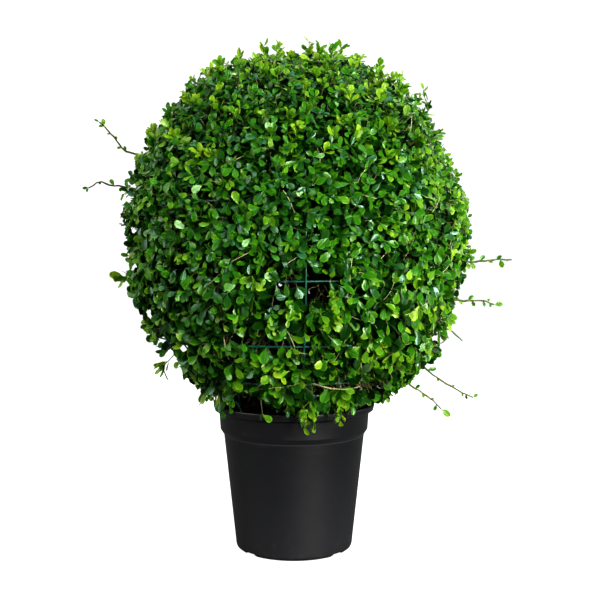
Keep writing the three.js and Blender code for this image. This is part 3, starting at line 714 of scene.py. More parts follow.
# Each mass of foliage has a way out from the ball's centre and a limb that carries it: the trunk for the top.
mass_ways = [UP]
mass_limbs = [trunk_line[trunk_heights > TOP_FROM]]
for tier in TIERS:
    for index in range(tier["count"]):
        azimuth = tier["turn"] + index * 360 / tier["count"]
        way = direction(azimuth, tier["zenith"])
        numbers = dealt_numbers(31 * index + tier["count"])
        low, high = tier["from"]
        fork = trunk_at(low + (high - low) * ((index * 2) % tier["count"]) / (tier["count"] - 1))
        tip = way * (core_inner(way) - STEM_LENGTH) + ball_centre
        crook = fork + (tip - fork) * CROOK_AT + [0, 0, CROOK_RISE[0] + CROOK_RISE[1] * next(numbers)]
        crook = crook + direction(azimuth + 90, 90) * CROOK_SIDEWAYS * (next(numbers) - 0.5)
        before_tip = tip - direction(azimuth, 90) * LEVEL_RUN[0] - [0, 0, LEVEL_RUN[1]]
        line = smooth_path([fork, crook, before_tip, tip], BOUGH_ROWS)
        radii = np.linspace(tier["root"], tier["tip"], BOUGH_ROWS)
        name = f"{tier['name']}_{index + 1}"
        bough = limb(f"limb_{name}", line, radii, bark, smoothness=4)
        furrow(bough, (tip - fork) / np.linalg.norm(tip - fork), **BOUGH_FURROWS)
        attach(bough, "root")
        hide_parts(f"bough_{name}")
        mass_ways.append(way)
        mass_limbs.append(line)

# Wire form: six ribs of green plastic-coated steel wire from the ball's top down into the pot, with seven
# rings welded inside them. The shrub is clipped to it, and it lies just under the leaves.

WIRE_INSET = 29
WIRE_INSET_DROP = 20
WIRE_RADIUS = 1.6
RIB_COUNT = 6
RIB_TURN = 4
RIB_TOP_ANGLE = 11
RING_HEIGHTS = [352, 426, 540, 676, 802, 900]
RING_SET = 2 * WIRE_RADIUS + 0.5  # how much further in than the ribs
LOWEST_RING_SET = RING_SET - 1  # where the ribs slope in
LEG_RADIUS = 122
LEG_BURIED = 60
LEG_BEND = [(0.3, 28), (0.65, 43), (0.9, 55), (1, 72)]  # share of the way in, and how far down
RIB_ROWS = 90
RING_SIDES = 8
RING_TURNS = 120
WIRE_TONES = [(0.004, 0.075, 0.052, 1), (0.018, 0.120, 0.085, 1)]


def on_form(way, further):
    """A point of the form in a direction, set in by some more for what lies inside it."""
    return on_ball(way, WIRE_INSET - WIRE_INSET_DROP * min(way[2], 0) ** 2 + further)


def form_at(azimuth, height, further):
    """The point of the form at a height, in the upright plane of an azimuth, found by halving."""
    low, high = 0, 180
    for _ in range(40):
        middle = (low + high) / 2
        if on_form(direction(azimuth, middle), further)[2] > height:
            low = middle
        else:
            high = middle
    return on_form(direction(azimuth, low), further)


coated_wire = Finish("coated_wire", {"Specular IOR Level": 0.5})
wire_place = coated_wire.place()
wire_wear = coated_wire.noise(wire_place, 90, detail=4).clipped(0.55, 0.8)
coated_wire.show(
    Base_Color=coated_wire.blend(wire_wear, *WIRE_TONES),
    Roughness=0.34 + wire_wear * 0.25,
    Normal=coated_wire.bump(coated_wire.noise(wire_place, 700), 0.1, 0.0004),
)

for index in range(RIB_COUNT):
    azimuth = RIB_TURN + index * 360 / RIB_COUNT
    out = direction(azimuth, 90)
    top = on_form(direction(azimuth, RIB_TOP_ANGLE), 0)
    stops = [top[2], *RING_HEIGHTS[::-1]]
    path = [top]
    for above, height in zip(stops, stops[1:]):
        path += [form_at(azimuth, (above + height) / 2, 0), form_at(azimuth, height, 0)]
    last, last_radius = path[-1], math.hypot(path[-1][0], path[-1][1])
    for share, drop in LEG_BEND:
        leg = out * (last_radius + (LEG_RADIUS - last_radius) * share)
        path.append(leg + [0, 0, last[2] - drop])
    path.append(out * LEG_RADIUS + [0, 0, soil_top - LEG_BURIED])
    line = smooth_path(path, RIB_ROWS)
    rib = limb(f"coated_rib_{index + 1}", line, [WIRE_RADIUS] * RIB_ROWS, coated_wire, smoothness=2)
    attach(rib, "root")
    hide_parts(f"wire_rib_{index + 1}")

rings = [form_at(0, RING_HEIGHTS[0], LOWEST_RING_SET)]
rings += [form_at(0, height, RING_SET) for height in RING_HEIGHTS[1:]]
rings.append(on_form(direction(0, RIB_TOP_ANGLE + 1), RING_SET))
ring_names = [f"ring_{i + 1}" for i in range(len(RING_HEIGHTS))] + ["ring_top"]
around = np.linspace(0, 2 * np.pi, RING_SIDES + 1)
for name, at in zip(ring_names, rings):
    ring_radius = math.hypot(at[0], at[1])
    section = [(ring_radius + WIRE_RADIUS * math.cos(a), at[2] + WIRE_RADIUS * math.sin(a)) for a in around]
    ring = turned(f"coated_{name}", section, rounding=0, turns=RING_TURNS)
    smooth(ring, 60)
    ring.data.materials.append(coated_wire.material)
    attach(ring, "root")
    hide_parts(f"wire_{name}")

# Twigs: from every limb branchlets fan out under the surface, and each carries thin tan twigs outwards.
# Runners are longer twigs that lie along the surface among the leaves, where the shears missed them.

BRANCHLET_COUNT = 190
BRANCHLET_ROWS = 9
BRANCHLET_RADII = (3.4, 1.7)  # at the foot and at the end
BRANCHLET_INSET = (92, 120)  # how far its end lies under the leafy surface, at least and at most
BRANCHLET_SPREAD = 70  # degrees. The further aside it goes, the nearer to the limb's foot it leaves
TWIG_COUNT = 4150
TWIG_ROWS = 7
TWIG_RADII = (1.25, 0.6)
TWIG_INSET = (2, 19)
TWIG_TONES = [(0.045, 0.040, 0.016, 1), (0.230, 0.205, 0.095, 1)]
RUNNER_COUNT = 520
RUNNER_ROWS = 9
RUNNER_RADII = (0.9, 0.45)
RUNNER_FOOT_INSET = (22, 44)
RUNNER_INSET = (2, 14)
RUNNER_LOWEST = 150  # degrees from the zenith
RUNNER_TONES = [(0.150, 0.132, 0.060, 1), (0.680, 0.620, 0.390, 1)]
GOLDEN_ANGLE = 180 * (3 - math.sqrt(5))
CROWN_LOWEST = 171  # degrees from the zenith
# How far the leafy surface stands out from the clipped form, as the front view shows its outline, every ten
# degrees from the lower left over the top to the lower right.
OUTLINE_FROM = -130
OUTLINE_STEP = 10
OUTLINE = [-9, -22, -15, -19, -13, -3, -14, -16, -16, -9, 5, -7, -9, -8]
OUTLINE += [-1, 3, -3, -6, 0, -16, -17, 1, 4, -7, -17, -10, 6]
OUTLINE_DEPTH = 38  # how many degrees this reaches to the front and the back
# Other places where it swells or sinks: azimuth, zenith and width in degrees, and height.
SWELLS = [(180, 40, 14, 8), (200, 85, 14, -10), (150, 75, 12, 8)]
SWELLS += [(225, 115, 12, -9), (20, 78, 14, 6), (-25, 60, 13, -6)]
PICTURE_SIZE = 600
PICTURE_MIDDLE = PICTURE_SIZE / 2
PICTURE_SCALE = LENS / SENSOR * PICTURE_SIZE
# Small holes where the light comes through the whole crown: where each is on the picture, and its half width.
HOLES = [(128, 199, 4), (133, 187, 3.5), (134, 230, 3), (144, 148, 3.5), (134, 266, 3.5), (149, 315, 4)]
HOLES += [(162, 340, 5), (170, 355, 5), (183, 348, 5), (178, 372, 4), (435, 338, 4), (421, 366, 4)]
HOLES += [(463, 150, 3)]

# All that grows is dealt out from this one run of seeded numbers, in the order in which it is made.
chance = np.random.default_rng(20)


def even_ways(count, lowest, turn=0):
    """Directions spread evenly over the ball, from the top down to the lowest."""
    level = 1 - (np.arange(count) + 0.5) / count * (1 - math.cos(math.radians(lowest)))
    return direction(np.arange(count) * GOLDEN_ANGLE + turn, np.degrees(np.arccos(level)))


def unit(vectors):
    """Vectors brought to a length of one."""
    return vectors / np.linalg.norm(vectors, axis=-1, keepdims=True)


def swayed(ways, swing):
    """Ways turned off a little, each by its own chance."""
    return unit(ways + chance.normal(scale=swing, size=ways.shape))


def apart(starts, ends):
    """How far each start is from its end, as a column."""
    return np.linalg.norm(ends - starts, axis=1)[:, None]


def edge(ways):
    """Distance from the ball's centre to the leafy surface: the clipped form with its swells and ripples."""
    turn = np.degrees(np.arctan2(ways[..., 0], ways[..., 2]))
    depth = np.degrees(np.arcsin(np.clip(ways[..., 1], -1, 1)))
    angles = OUTLINE_FROM + OUTLINE_STEP * np.arange(len(OUTLINE))
    swell = np.interp(turn, angles, OUTLINE) * np.exp(-((depth / OUTLINE_DEPTH) ** 2))
    for azimuth, zenith, width, height in SWELLS:
        off = np.degrees(np.arccos(np.clip(ways @ direction(azimuth, zenith), -1, 1)))
        swell = swell + height * np.exp(-((off / width) ** 2))
    x, y, z = ways[..., 0], ways[..., 1], ways[..., 2]
    broad = 3.2 * np.sin(14 * x + 6 * z + 1) * np.cos(13 * z - 9 * y)
    fine = 2 * np.sin(25 * x - 21 * y + 2) * np.sin(27 * z)
    return reach(ways) + swell + (broad + fine)


def on_crown(ways, inset):
    """Points that lie inside the leafy surface by an inset."""
    return ways * (edge(ways) - inset)[..., None] + ball_centre


def on_picture(points):
    """Where points fall on the picture, across and down."""
    down = math.radians(CAMERA_DOWN)
    off = points - np.array(camera.location) / MM
    depth = off[:, 1] * math.cos(down) - off[:, 2] * math.sin(down)
    height = off[:, 1] * math.sin(down) + off[:, 2] * math.cos(down)
    return np.stack([off[:, 0], -height], axis=1) / depth[:, None] * PICTURE_SCALE + PICTURE_MIDDLE


def crosses_hole(paths):
    """Paths that pass one of the holes, seen from the front."""
    spots = on_picture(paths.reshape(-1, 3)).reshape(*paths.shape[:2], 2)
    start, run = spots[:, :-1], np.diff(spots, axis=1)
    crossed = np.zeros(len(paths), dtype=bool)
    for across, down, width in HOLES:
        part = np.sum(([across, down] - start) * run, axis=2) / np.sum(run * run, axis=2)
        off = start + np.clip(part, 0, 1)[..., None] * run - [across, down]
        crossed |= (np.linalg.norm(off, axis=2) < width).any(axis=1)
    return crossed


def uneven(points):
    """A smooth swing between about -1 and 1 from place to place, one spray of leaves wide."""
    x, y, z = (points / 13).T
    wave = np.sin(x + 1.7 * np.sin(0.6 * z)) * np.cos(0.9 * z - 0.8 * y)
    return (wave + np.sin(1.3 * y + 0.5 * x - 0.4 * z) * np.sin(1.1 * z + 0.7 * x + 2)) / 1.3


def bent(starts, leave, arrive, ends, rows):
    """Paths that leave their starts along one vector and arrive at their ends along another."""
    t = np.linspace(0, 1, rows)[None, :, None]
    p0, p1, p2, p3 = (p[:, None] for p in (starts, starts + leave, ends - arrive, ends))
    return p0 * (1 - t) ** 3 + 3 * p1 * t * (1 - t) ** 2 + 3 * p2 * t * t * (1 - t) + p3 * t**3


def tapering(radii, rows):
    """A radius for each row of a path, from its foot to its end."""
    return np.linspace(*radii, rows)[None]


def thin_tubes(paths, radii, sides):
    """Joined closed tubes along many paths, with a radius for each row."""
    count, rows = paths.shape[:2]
    along = unit(np.gradient(paths, axis=1))
    across = unit(np.cross(along, unit(chance.normal(size=(count, 1, 3)) + along * 0.1)))
    over = np.cross(along, across)
    turns = np.arange(sides) * 2 * np.pi / sides
    spokes = across[:, :, None] * np.cos(turns)[:, None] + over[:, :, None] * np.sin(turns)[:, None]
    vertices = paths[:, :, None] + spokes * radii[..., None, None]
    grid = np.arange(rows * sides).reshape(rows, sides)
    ahead = np.roll(grid, -1, axis=1)
    walls = [
        np.stack([grid[:-1], ahead[:-1], ahead[1:]], axis=-1).reshape(-1, 3),
        np.stack([grid[:-1], ahead[1:], grid[1:]], axis=-1).reshape(-1, 3),
    ]
    fan = np.array([[0, i + 1, i] for i in range(1, sides - 1)])
    faces = np.concatenate([*walls, grid[0][fan], grid[-1][fan[:, ::-1]]])
    first = np.arange(count)[:, None, None] * rows * sides
    return vertices.reshape(-1, 3), (faces[None] + first).reshape(-1, 3)


mass_ways = np.array(mass_ways)
branch_ways = even_ways(BRANCHLET_COUNT, CROWN_LOWEST)
branch_mass = np.argmax(branch_ways @ mass_ways.T, axis=1)
branch_starts, branch_leave = [], []
for way, mass in zip(branch_ways, branch_mass):
    line = mass_limbs[mass]
    spread = math.degrees(math.acos(np.clip(way @ mass_ways[mass], -1, 1)))
    share = np.clip(1 - spread / BRANCHLET_SPREAD + chance.uniform(-0.06, 0), 0.4, 1)
    row = int(share * (len(line) - 1))
    branch_starts.append(line[row])
    branch_leave.append(unit(line[row] - line[max(row - 3, 0)]) if row else way)
branch_starts, branch_leave = np.array(branch_starts), np.array(branch_leave)
branch_ends = on_crown(branch_ways, chance.uniform(*BRANCHLET_INSET, BRANCHLET_COUNT))
branch_length = apart(branch_starts, branch_ends)
branchlets = bent(
    branch_starts,
    branch_leave * branch_length * 0.35,
    branch_ways * branch_length * 0.3,
    branch_ends,
    BRANCHLET_ROWS,
)
branch_radii = tapering(BRANCHLET_RADII, BRANCHLET_ROWS) * chance.uniform(0.8, 1.15, (BRANCHLET_COUNT, 1))
branch_piece = new_piece("branchlets", *thin_tubes(branchlets, branch_radii, sides=6), bark)

twig_ways = swayed(even_ways(TWIG_COUNT, CROWN_LOWEST), 0.016)
carrier = np.argmax(twig_ways @ branch_ways.T, axis=1)
carrier_row = chance.integers(BRANCHLET_ROWS // 2, BRANCHLET_ROWS, TWIG_COUNT)
twig_starts = branchlets[carrier, carrier_row]
twig_leave = unit(branchlets[carrier, carrier_row] - branchlets[carrier, carrier_row - 1])
twig_feet = swayed(twig_ways, 0.05)
twig_feet = on_crown(twig_feet, chance.uniform(45, 70, TWIG_COUNT))
twig_recess = np.interp(twig_ways[:, 2], [-0.9, -0.3, 0.4, 1.0], [40, 40, 20, 10])
twig_recess = twig_recess * np.clip(uneven(on_ball(twig_ways, 0)) - 0.1, 0, 1)
twig_ends = on_crown(twig_ways, chance.uniform(*TWIG_INSET, TWIG_COUNT) + twig_recess)
twig_length = apart(twig_starts, twig_ends)
twigs = bent(
    twig_starts,
    twig_leave * twig_length * 0.25,
    unit(twig_ends - twig_feet) * twig_length * 0.4,
    twig_ends,
    TWIG_ROWS,
)
twig_radii = tapering(TWIG_RADII, TWIG_ROWS) * chance.uniform(0.75, 1.2, (TWIG_COUNT, 1))
twig_finish = bark_finish("twig_bark", *TWIG_TONES)
twig_clear = ~crosses_hole(twigs)
twig_clear &= (twig_ways[:, 2] > -0.8) | (chance.uniform(size=TWIG_COUNT) < 0.6)
twig_tubes = thin_tubes(twigs[twig_clear], twig_radii[twig_clear], sides=3)
twig_piece = new_piece("twigs", *twig_tubes, twig_finish)

runner_ways = unit(even_ways(RUNNER_COUNT, RUNNER_LOWEST, turn=31) - 0.22 * UP)
runner_ways = swayed(runner_ways, 0.03)
runner_side = unit(np.cross(runner_ways, chance.normal(size=(RUNNER_COUNT, 3))))
runner_swing = runner_side * chance.uniform(0.05, 0.14, (RUNNER_COUNT, 1))
runner_starts = on_crown(unit(runner_ways - runner_swing), chance.uniform(*RUNNER_FOOT_INSET, RUNNER_COUNT))
runner_ends = on_crown(unit(runner_ways + runner_swing), chance.uniform(*RUNNER_INSET, RUNNER_COUNT))
runner_length = apart(runner_starts, runner_ends)
runner_leave = swayed(runner_side + runner_ways * 0.7, 0.16)
runner_arrive = swayed(runner_side + runner_ways * 0.1, 0.16)
runners = bent(
    runner_starts,
    runner_leave * runner_length * 0.4,
    runner_arrive * runner_length * 0.4,
    runner_ends,
    RUNNER_ROWS,
)
runner_radii = tapering(RUNNER_RADII, RUNNER_ROWS) * chance.uniform(0.8, 1.2, (RUNNER_COUNT, 1))
# There are fewer of them higher up and on the left, and none across a hole.
runner_share = np.interp(runner_ways[:, 2], [-0.5, 0.0, 0.5], [0.65, 0.42, 0.2])
runner_clear = ~crosses_hole(runners) & (chance.uniform(size=RUNNER_COUNT) < runner_share)
runner_clear &= (runner_ways[:, 0] > -0.1) | (chance.uniform(size=RUNNER_COUNT) < 0.6)
runner_finish = bark_finish("runner_bark", *RUNNER_TONES)
runner_tubes = thin_tubes(runners[runner_clear], runner_radii[runner_clear], sides=4)
runner_piece = new_piece("runner_twigs", *runner_tubes, runner_finish)
for piece in (branch_piece, twig_piece, runner_piece):
    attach(piece, "root")

# Shoots: new growth that escaped the shears. Some are wiry stems with a scale or a tiny leaf at each joint,
# others are soft and leafy: tufts on top of the ball, and two that droop towards the pot.

# The source's shoots: the length of their leaves, and the points that each runs through.
SHOOTS = [
    (15, [(-290, 18, 770), (-336, 24, 786), (-356, 24, 812), (-384, 24, 841)]),
    (14, [(-330, 60, 712), (-368, 60, 718), (-392, 60, 724), (-414, 60, 711)]),
    (18, [(320, -58, 568), (350, -60, 567), (384, -60, 571), (414, -60, 571)]),
    (16, [(310, -36, 492), (336, -34, 490), (374, -32, 489), (389, -32, 482)]),
    (0, [(288, 40, 442), (308, 40, 430), (322, 40, 419), (336, 40, 404)]),
    (16, [(250, 26, 362), (284, 22, 334), (318, 18, 314), (356, 14, 294)]),
    (17, [(205, -30, 350), (232, -32, 322), (258, -34, 306), (286, -36, 280)]),
    (24, [(230, -62, 826), (254, -70, 852), (246, -72, 878), (240, -74, 902)]),
    (26, [(60, -306, 520), (66, -340, 514), (70, -372, 509), (72, -400, 502)]),
    (28, [(38, -176, 336), (30, -188, 316), (22, -194, 290), (18, -194, 262)]),
    (24, [(82, -166, 336), (84, -178, 314), (84, -184, 292), (84, -184, 270)]),
    (26, [(-52, 10, 945), (-55, 8, 962), (-58, 6, 978), (-60, 4, 992)]),
    (24, [(-24, 22, 950), (-26, 20, 968), (-28, 18, 984), (-28, 16, 1000)]),
    (26, [(28, -22, 950), (28, -22, 966), (30, -24, 982), (30, -26, 998)]),
    (28, [(88, 10, 938), (90, 8, 956), (92, 8, 974), (92, 6, 992)]),
    (24, [(122, -4, 925), (126, -4, 942), (130, -6, 958), (134, -6, 974)]),
    (17, [(-174, 272, 722), (-194, 310, 738), (-204, 334, 748), (-212, 352, 768)]),
    (17, [(44, 306, 598), (50, 346, 590), (54, 376, 582), (56, 400, 574)]),
    (16, [(224, 210, 446), (248, 240, 430), (262, 260, 416), (278, 280, 398)]),
    (17, [(-164, 184, 384), (-190, 210, 354), (-206, 230, 336), (-222, 248, 314)]),
    (22, [(76, 200, 858), (80, 214, 884), (84, 224, 906), (92, 232, 928)]),
]
SHOOT_ROWS = 18
SHOOT_DEPTH = 68  # how far under the clipped surface a shoot starts
SHOOT_RADII = (2.5, 1.4)
SHOOT_TONES = [(0.026, 0.036, 0.008, 1), (0.150, 0.165, 0.045, 1)]
WIRY_LEAF = 18  # up to this leaf length a shoot is wiry, and above it leafy
LEAFY_REACH = 0.9  # how much of its run a leafy shoot's stem takes up, with leaves over the rest
LEAFY_RADIUS = 0.55  # of a wiry one's

shoot_lines = []
for leaf, points in SHOOTS:
    inward = unit(np.array(points[0], dtype=float) - ball_centre)
    foot = on_ball(inward, SHOOT_DEPTH)
    whole = smooth_path([foot, *points], 3 * SHOOT_ROWS)
    reached = len(whole) if leaf <= WIRY_LEAF else int(LEAFY_REACH * len(whole))
    shoot_lines.append(whole[np.linspace(0, reached - 1, SHOOT_ROWS).astype(int)])
shoot_lines = np.array(shoot_lines)
kink = chance.normal(scale=1.1, size=shoot_lines.shape) * np.linspace(0, 1, SHOOT_ROWS)[None, :, None]
shoot_lines = shoot_lines + kink
wiry = np.array([leaf <= WIRY_LEAF for leaf, _ in SHOOTS])
shoot_radii = tapering(SHOOT_RADII, SHOOT_ROWS) * np.where(wiry, 1.0, LEAFY_RADIUS)[:, None]
shoot_radii = shoot_radii * chance.uniform(0.8, 1.2, shoot_radii.shape)
shoot_finish = bark_finish("shoot_bark", *SHOOT_TONES)
shoot_piece = new_piece("shoot_stems", *thin_tubes(shoot_lines, shoot_radii, sides=6), shoot_finish)
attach(shoot_piece, "root")

# Hangers: long soft twigs at the foot of the ball, green like the shoots, that droop over the rim of the pot.
# They end on it or just outside. Those in front are placed one by one, and the rest go round at even steps.

# Each front one's azimuth, the height of its end, and its end's distance from the axis.
FRONT_HANGERS = [(-80, 306, 180), (-68, 300, 178), (-59, 293, 176), (-54, 298, 172), (-50, 292, 176)]
FRONT_HANGERS += [(-45, 294, 170), (-40, 302, 170), (-18, 284, 177), (-4, 300, 176), (4, 292, 174)]
FRONT_HANGERS += [(11, 270, 178), (17, 300, 180), (24, 306, 172), (38, 300, 176), (52, 310, 172)]
FRONT_HANGERS += [(66, 314, 176), (84, 300, 184)]
# The others' first azimuth, end and step, and then for the height and for the distance: the least, how much
# more there may be, and the pace at which that changes with the azimuth.
OTHER_HANGERS = [
    ((-130, -44, 9), (300, 12, 0.41), (150, 8, 0.63)),
    ((62, 130, 9), (302, 12, 0.41), (150, 8, 0.63)),
    ((97, 275, 11), (292, 23, 0.37), (170, 9, 0.71)),
]
HANGER_ROWS = 10
HANGER_RADII = (1.3, 0.7)
HANGER_ZENITH = 146.0  # where they start
HANGER_DEPTH = 46  # under the leafy surface

hanger_places = list(FRONT_HANGERS)
for steps, *measures in OTHER_HANGERS:
    for azimuth in range(*steps):
        ends = [least + more * (azimuth * pace % 1) for least, more, pace in measures]
        hanger_places.append((azimuth, *ends))
hanger_turn, hanger_foot, hanger_out = np.array(hanger_places, dtype=float).T
hanger_count = len(hanger_places)
hanger_ways = direction(hanger_turn, np.full(hanger_count, HANGER_ZENITH))
hanger_starts = on_crown(hanger_ways, HANGER_DEPTH)
hanger_level = direction(hanger_turn, np.full(hanger_count, 90.0))
hanger_ends = hanger_level * hanger_out[:, None] + UP * hanger_foot[:, None]
hangers = bent(
    hanger_starts,
    unit(hanger_level + 0.1 * UP) * 26 + chance.normal(scale=5, size=hanger_starts.shape),
    UP * -24 + chance.normal(scale=4, size=hanger_starts.shape),
    hanger_ends,
    HANGER_ROWS,
)
hanger_radii = np.repeat(tapering(HANGER_RADII, HANGER_ROWS), hanger_count, axis=0)
hanger_piece = new_piece("hanger_twigs", *thin_tubes(hangers, hanger_radii, sides=5), shoot_finish)
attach(hanger_piece, "root")

# Sprigs: short soft green stems, new since the last clipping. They stand up all over the top of the ball,
# and a few stick out lower down at its sides and back.

SPRIG_COUNT = 170
SPRIG_ROWS = 7
SPRIG_RADII = (1.0, 0.6)
SPRIG_RISE = (12, 34)
SPRIG_DEPTH = 24
SPRIG_LOWEST = 74  # degrees from the zenith
SPRIG_TONES = [(0.060, 0.150, 0.010, 1), (0.200, 0.330, 0.030, 1)]
# The lower ones, which take the place of the last of the others: azimuth, zenith and rise.
SIDE_SPRIGS = [(-80, 136, 36), (-86, 124, 20), (-84, 106, 34), (-100, 106, 26), (92, 74, 26)]
SIDE_SPRIGS += [(88, 99, 24), (84, 118, 26), (172, 120, 34), (215, 96, 30)]

side_azimuth, side_zenith, side_rise = np.array(SIDE_SPRIGS, dtype=float).T
sprig_ways = swayed(even_ways(SPRIG_COUNT, SPRIG_LOWEST, turn=9), 0.05)
sprig_ways[-len(SIDE_SPRIGS) :] = direction(side_azimuth, side_zenith)
sprig_feet = on_crown(sprig_ways, SPRIG_DEPTH)
sprig_rise = chance.uniform(*SPRIG_RISE, (SPRIG_COUNT, 1))
sprig_rise *= np.interp(sprig_ways[:, 2], [0.3, 0.8], [0.75, 1.0])[:, None]
sprig_rise[-len(SIDE_SPRIGS) :] = side_rise[:, None]
upwards = np.interp(sprig_ways[:, 2], [-0.5, 0.2], [-0.2, 0.7])[:, None] * UP
sprig_lean = swayed(sprig_ways + upwards, 0.22)
sprigs = bent(
    sprig_feet,
    sprig_ways * sprig_rise * 0.4,
    (sprig_lean + chance.normal(scale=0.2, size=sprig_ways.shape)) * sprig_rise * 0.3,
    sprig_feet + sprig_lean * sprig_rise,
    SPRIG_ROWS,
)
sprig_radii = np.repeat(tapering(SPRIG_RADII, SPRIG_ROWS), SPRIG_COUNT, axis=0)
sprig_finish = bark_finish("sprig_green", *SPRIG_TONES)
sprig_piece = new_piece("sprig_stems", *thin_tubes(sprigs, sprig_radii, sides=4), sprig_finish)
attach(sprig_piece, "root")

# Leaves: small stiff glossy blades, widest near a blunt tip, that narrow into a short stalk and fold a little
# along the midrib. They sit in small clusters round each twig, face the light, and hang larger lower down.

CLUSTERS = [0.62, 0.78, 0.90, 1.0]  # where they sit, as shares of a twig's length
LEAVES_PER_CLUSTER = [1, 1, 3, 5]
LEAVES_PER_RUNNER = 7
LEAVES_PER_HANGER = 10
LEAVES_PER_SPRIG = 7
INNER_LEAF_COUNT = 3200
INNER_LEAF_INSET = (55, 115)
INNER_LEAF_LOWEST = 156  # degrees from the zenith
MOST_IN_PIECE = 10500  # leaves
# A leaf's usual length by its height on the ball, from -1 at the bottom to 1 on top, and how much it varies.
LEAF_LENGTHS = ([-0.9, -0.5, -0.1, 0.4, 1.0], [33, 32, 26, 23, 20])
LEAF_SIZES = (0.62, 1.28)
LEAF_WIDTH = 0.53  # of its length
LEAF_WIDTHS = (0.86, 1.14)
LEAF_FORM = {"fold": (0.02, 0.30), "curl": (0.10, 0.10), "twist": (0, 0.25)}  # the middle, and the swing
# Its outline: shares of its length, and of its half width there.
BLADE = [(0, 0.07), (0.14, 0.18), (0.38, 0.76), (0.68, 1.0), (0.92, 0.60)]
# The tones of leaf: base colour, specular level and tint, and how much paler the rim and midrib are.
TINTS = {
    # The shaded tone is painted shade: the same leaves, darkened because they lie deep in the crown.
    "leaves_shaded": ((0.005, 0.033, 0.002), 0.10, (0.75, 1.0, 0.75), (2.0, 1.6, 1.1)),
    "leaves_deep": ((0.013, 0.078, 0.004), 0.80, (0.62, 0.97, 0.90), (4.8, 2.7, 1.2)),
    "leaves_green": ((0.031, 0.150, 0.005), 0.58, (0.72, 0.98, 0.66), (4.8, 2.5, 1.2)),
    "leaves_fresh": ((0.096, 0.245, 0.012), 0.45, (0.86, 0.98, 0.56), (3.2, 2.0, 1.2)),
    "leaves_young": ((0.240, 0.405, 0.026), 0.38, (0.9, 1.0, 0.56), (1.9, 1.4, 1.1)),
    "leaves_dry": ((0.420, 0.380, 0.220), 0.10, (1.0, 1.0, 1.0), (1.2, 1.2, 1.2)),
}
SHADED, DEEP, GREEN, FRESH, YOUNG, DRY = range(6)
RIM_WIDTH = 14  # from the lip in to the wall, which leaves keep off
TONE_SWING = [(0.38, 0.60, 0.35), (1.22, 1.18, 1.18)]  # the darkest and the lightest of a tone, by its colour
LIGHT_THROUGH = (1.3, 1.05, 0.8)  # the light that a blade lets through, by its colour
SHARE_THROUGH = 0.15
# Places where leaves stand apart and show wire or the dark inside: the line of each on the picture, and its
# half width.
OPENINGS = [
    ((225, 339), (310, 348), 2.8), ((310, 388), (384, 385), 2.4), ((276, 284), (329, 279), 3.0),
    ((176, 266), (192, 274), 1.5), ((206, 198), (224, 202), 1.4), ((309, 264), (310, 304), 2.8),
    ((310, 322), (311, 340), 1.4), ((314, 290), (332, 300), 6.0), ((262, 268), (280, 262), 2.2),
    ((240, 402), (260, 406), 6.0),
]
OPENINGS_FRONT = 40  # an opening goes this far past the middle of the ball, and leaves behind that stay
# Newer and yellower sprays: azimuth, zenith and half width in degrees, and the share of leaves.
FRESH_SPRAYS = [
    (-62, 100, 7, 0.8), (-34, 98, 3, 0.9), (-12, 96, 3, 0.8), (-4, 102, 3, 0.8), (16, 119, 4, 1.0),
    (31, 131, 5, 0.8), (55, 134, 5, 0.8), (58, 72, 12, 0.5), (70, 88, 12, 0.5), (18, 60, 5, 0.6),
    (-50, 60, 5, 0.6), (140, 70, 9, 0.6), (200, 105, 8, 0.6), (240, 60, 9, 0.5),
]
# Where the growth is sparse and the light shows through: azimuth, zenith and half width in degrees.
SPARSE = [(268, 80, 9), (264, 100, 7), (262, 124, 12), (95, 124, 8), (175, 118, 8)]
SPARSE_SHARE = 0.48  # of the leaves is missing there
DRY_SPOTS = [(272, 392), (347, 417)]  # the two dried leaves by the rim, on the picture

stations = np.array(BLADE)
blade_along = np.concatenate([np.repeat(stations[:, 0], 3), [1.0]])
blade_across = np.concatenate([(stations[:, 1:] * [-1, 0, 1]).ravel(), [0.0]])
blade_faces = []
for i in range(len(BLADE) - 1):
    for j in range(2):
        corner = 3 * i + j
        blade_faces += [[corner, corner + 1, corner + 4], [corner, corner + 4, corner + 3]]
last_row = 3 * (len(BLADE) - 1)
blade_faces += [[last_row, last_row + 1, last_row + 3], [last_row + 1, last_row + 2, last_row + 3]]
blade_faces = np.array(blade_faces)
blade_spots = np.stack([0.5 + blade_across / 2, blade_along], axis=1)


def leaf_arrays(leaves):
    """Vertices, faces and map places of leaves, each folded along its midrib and curled down its length."""
    along = leaves["along"]
    side = unit(np.cross(along, leaves["face"]))
    face = np.cross(side, along)
    length, fold, curl, twist = (leaves[key][:, None] for key in ("length", "fold", "curl", "twist"))
    run = blade_along[None] * length
    half = blade_across[None] * length * LEAF_WIDTH / 2 * leaves["width"][:, None]
    rise = np.abs(half) * fold - curl * blade_along[None] ** 2 * length + half * twist * blade_along[None]
    vertices = (
        leaves["base"][:, None]
        + along[:, None] * run[..., None]
        + side[:, None] * half[..., None]
        + face[:, None] * rise[..., None]
    )
    first = np.arange(len(along))[:, None, None] * len(blade_along)
    faces = (blade_faces[None] + first).reshape(-1, 3)
    return vertices.reshape(-1, 3), faces, np.tile(blade_spots, (len(along), 1))


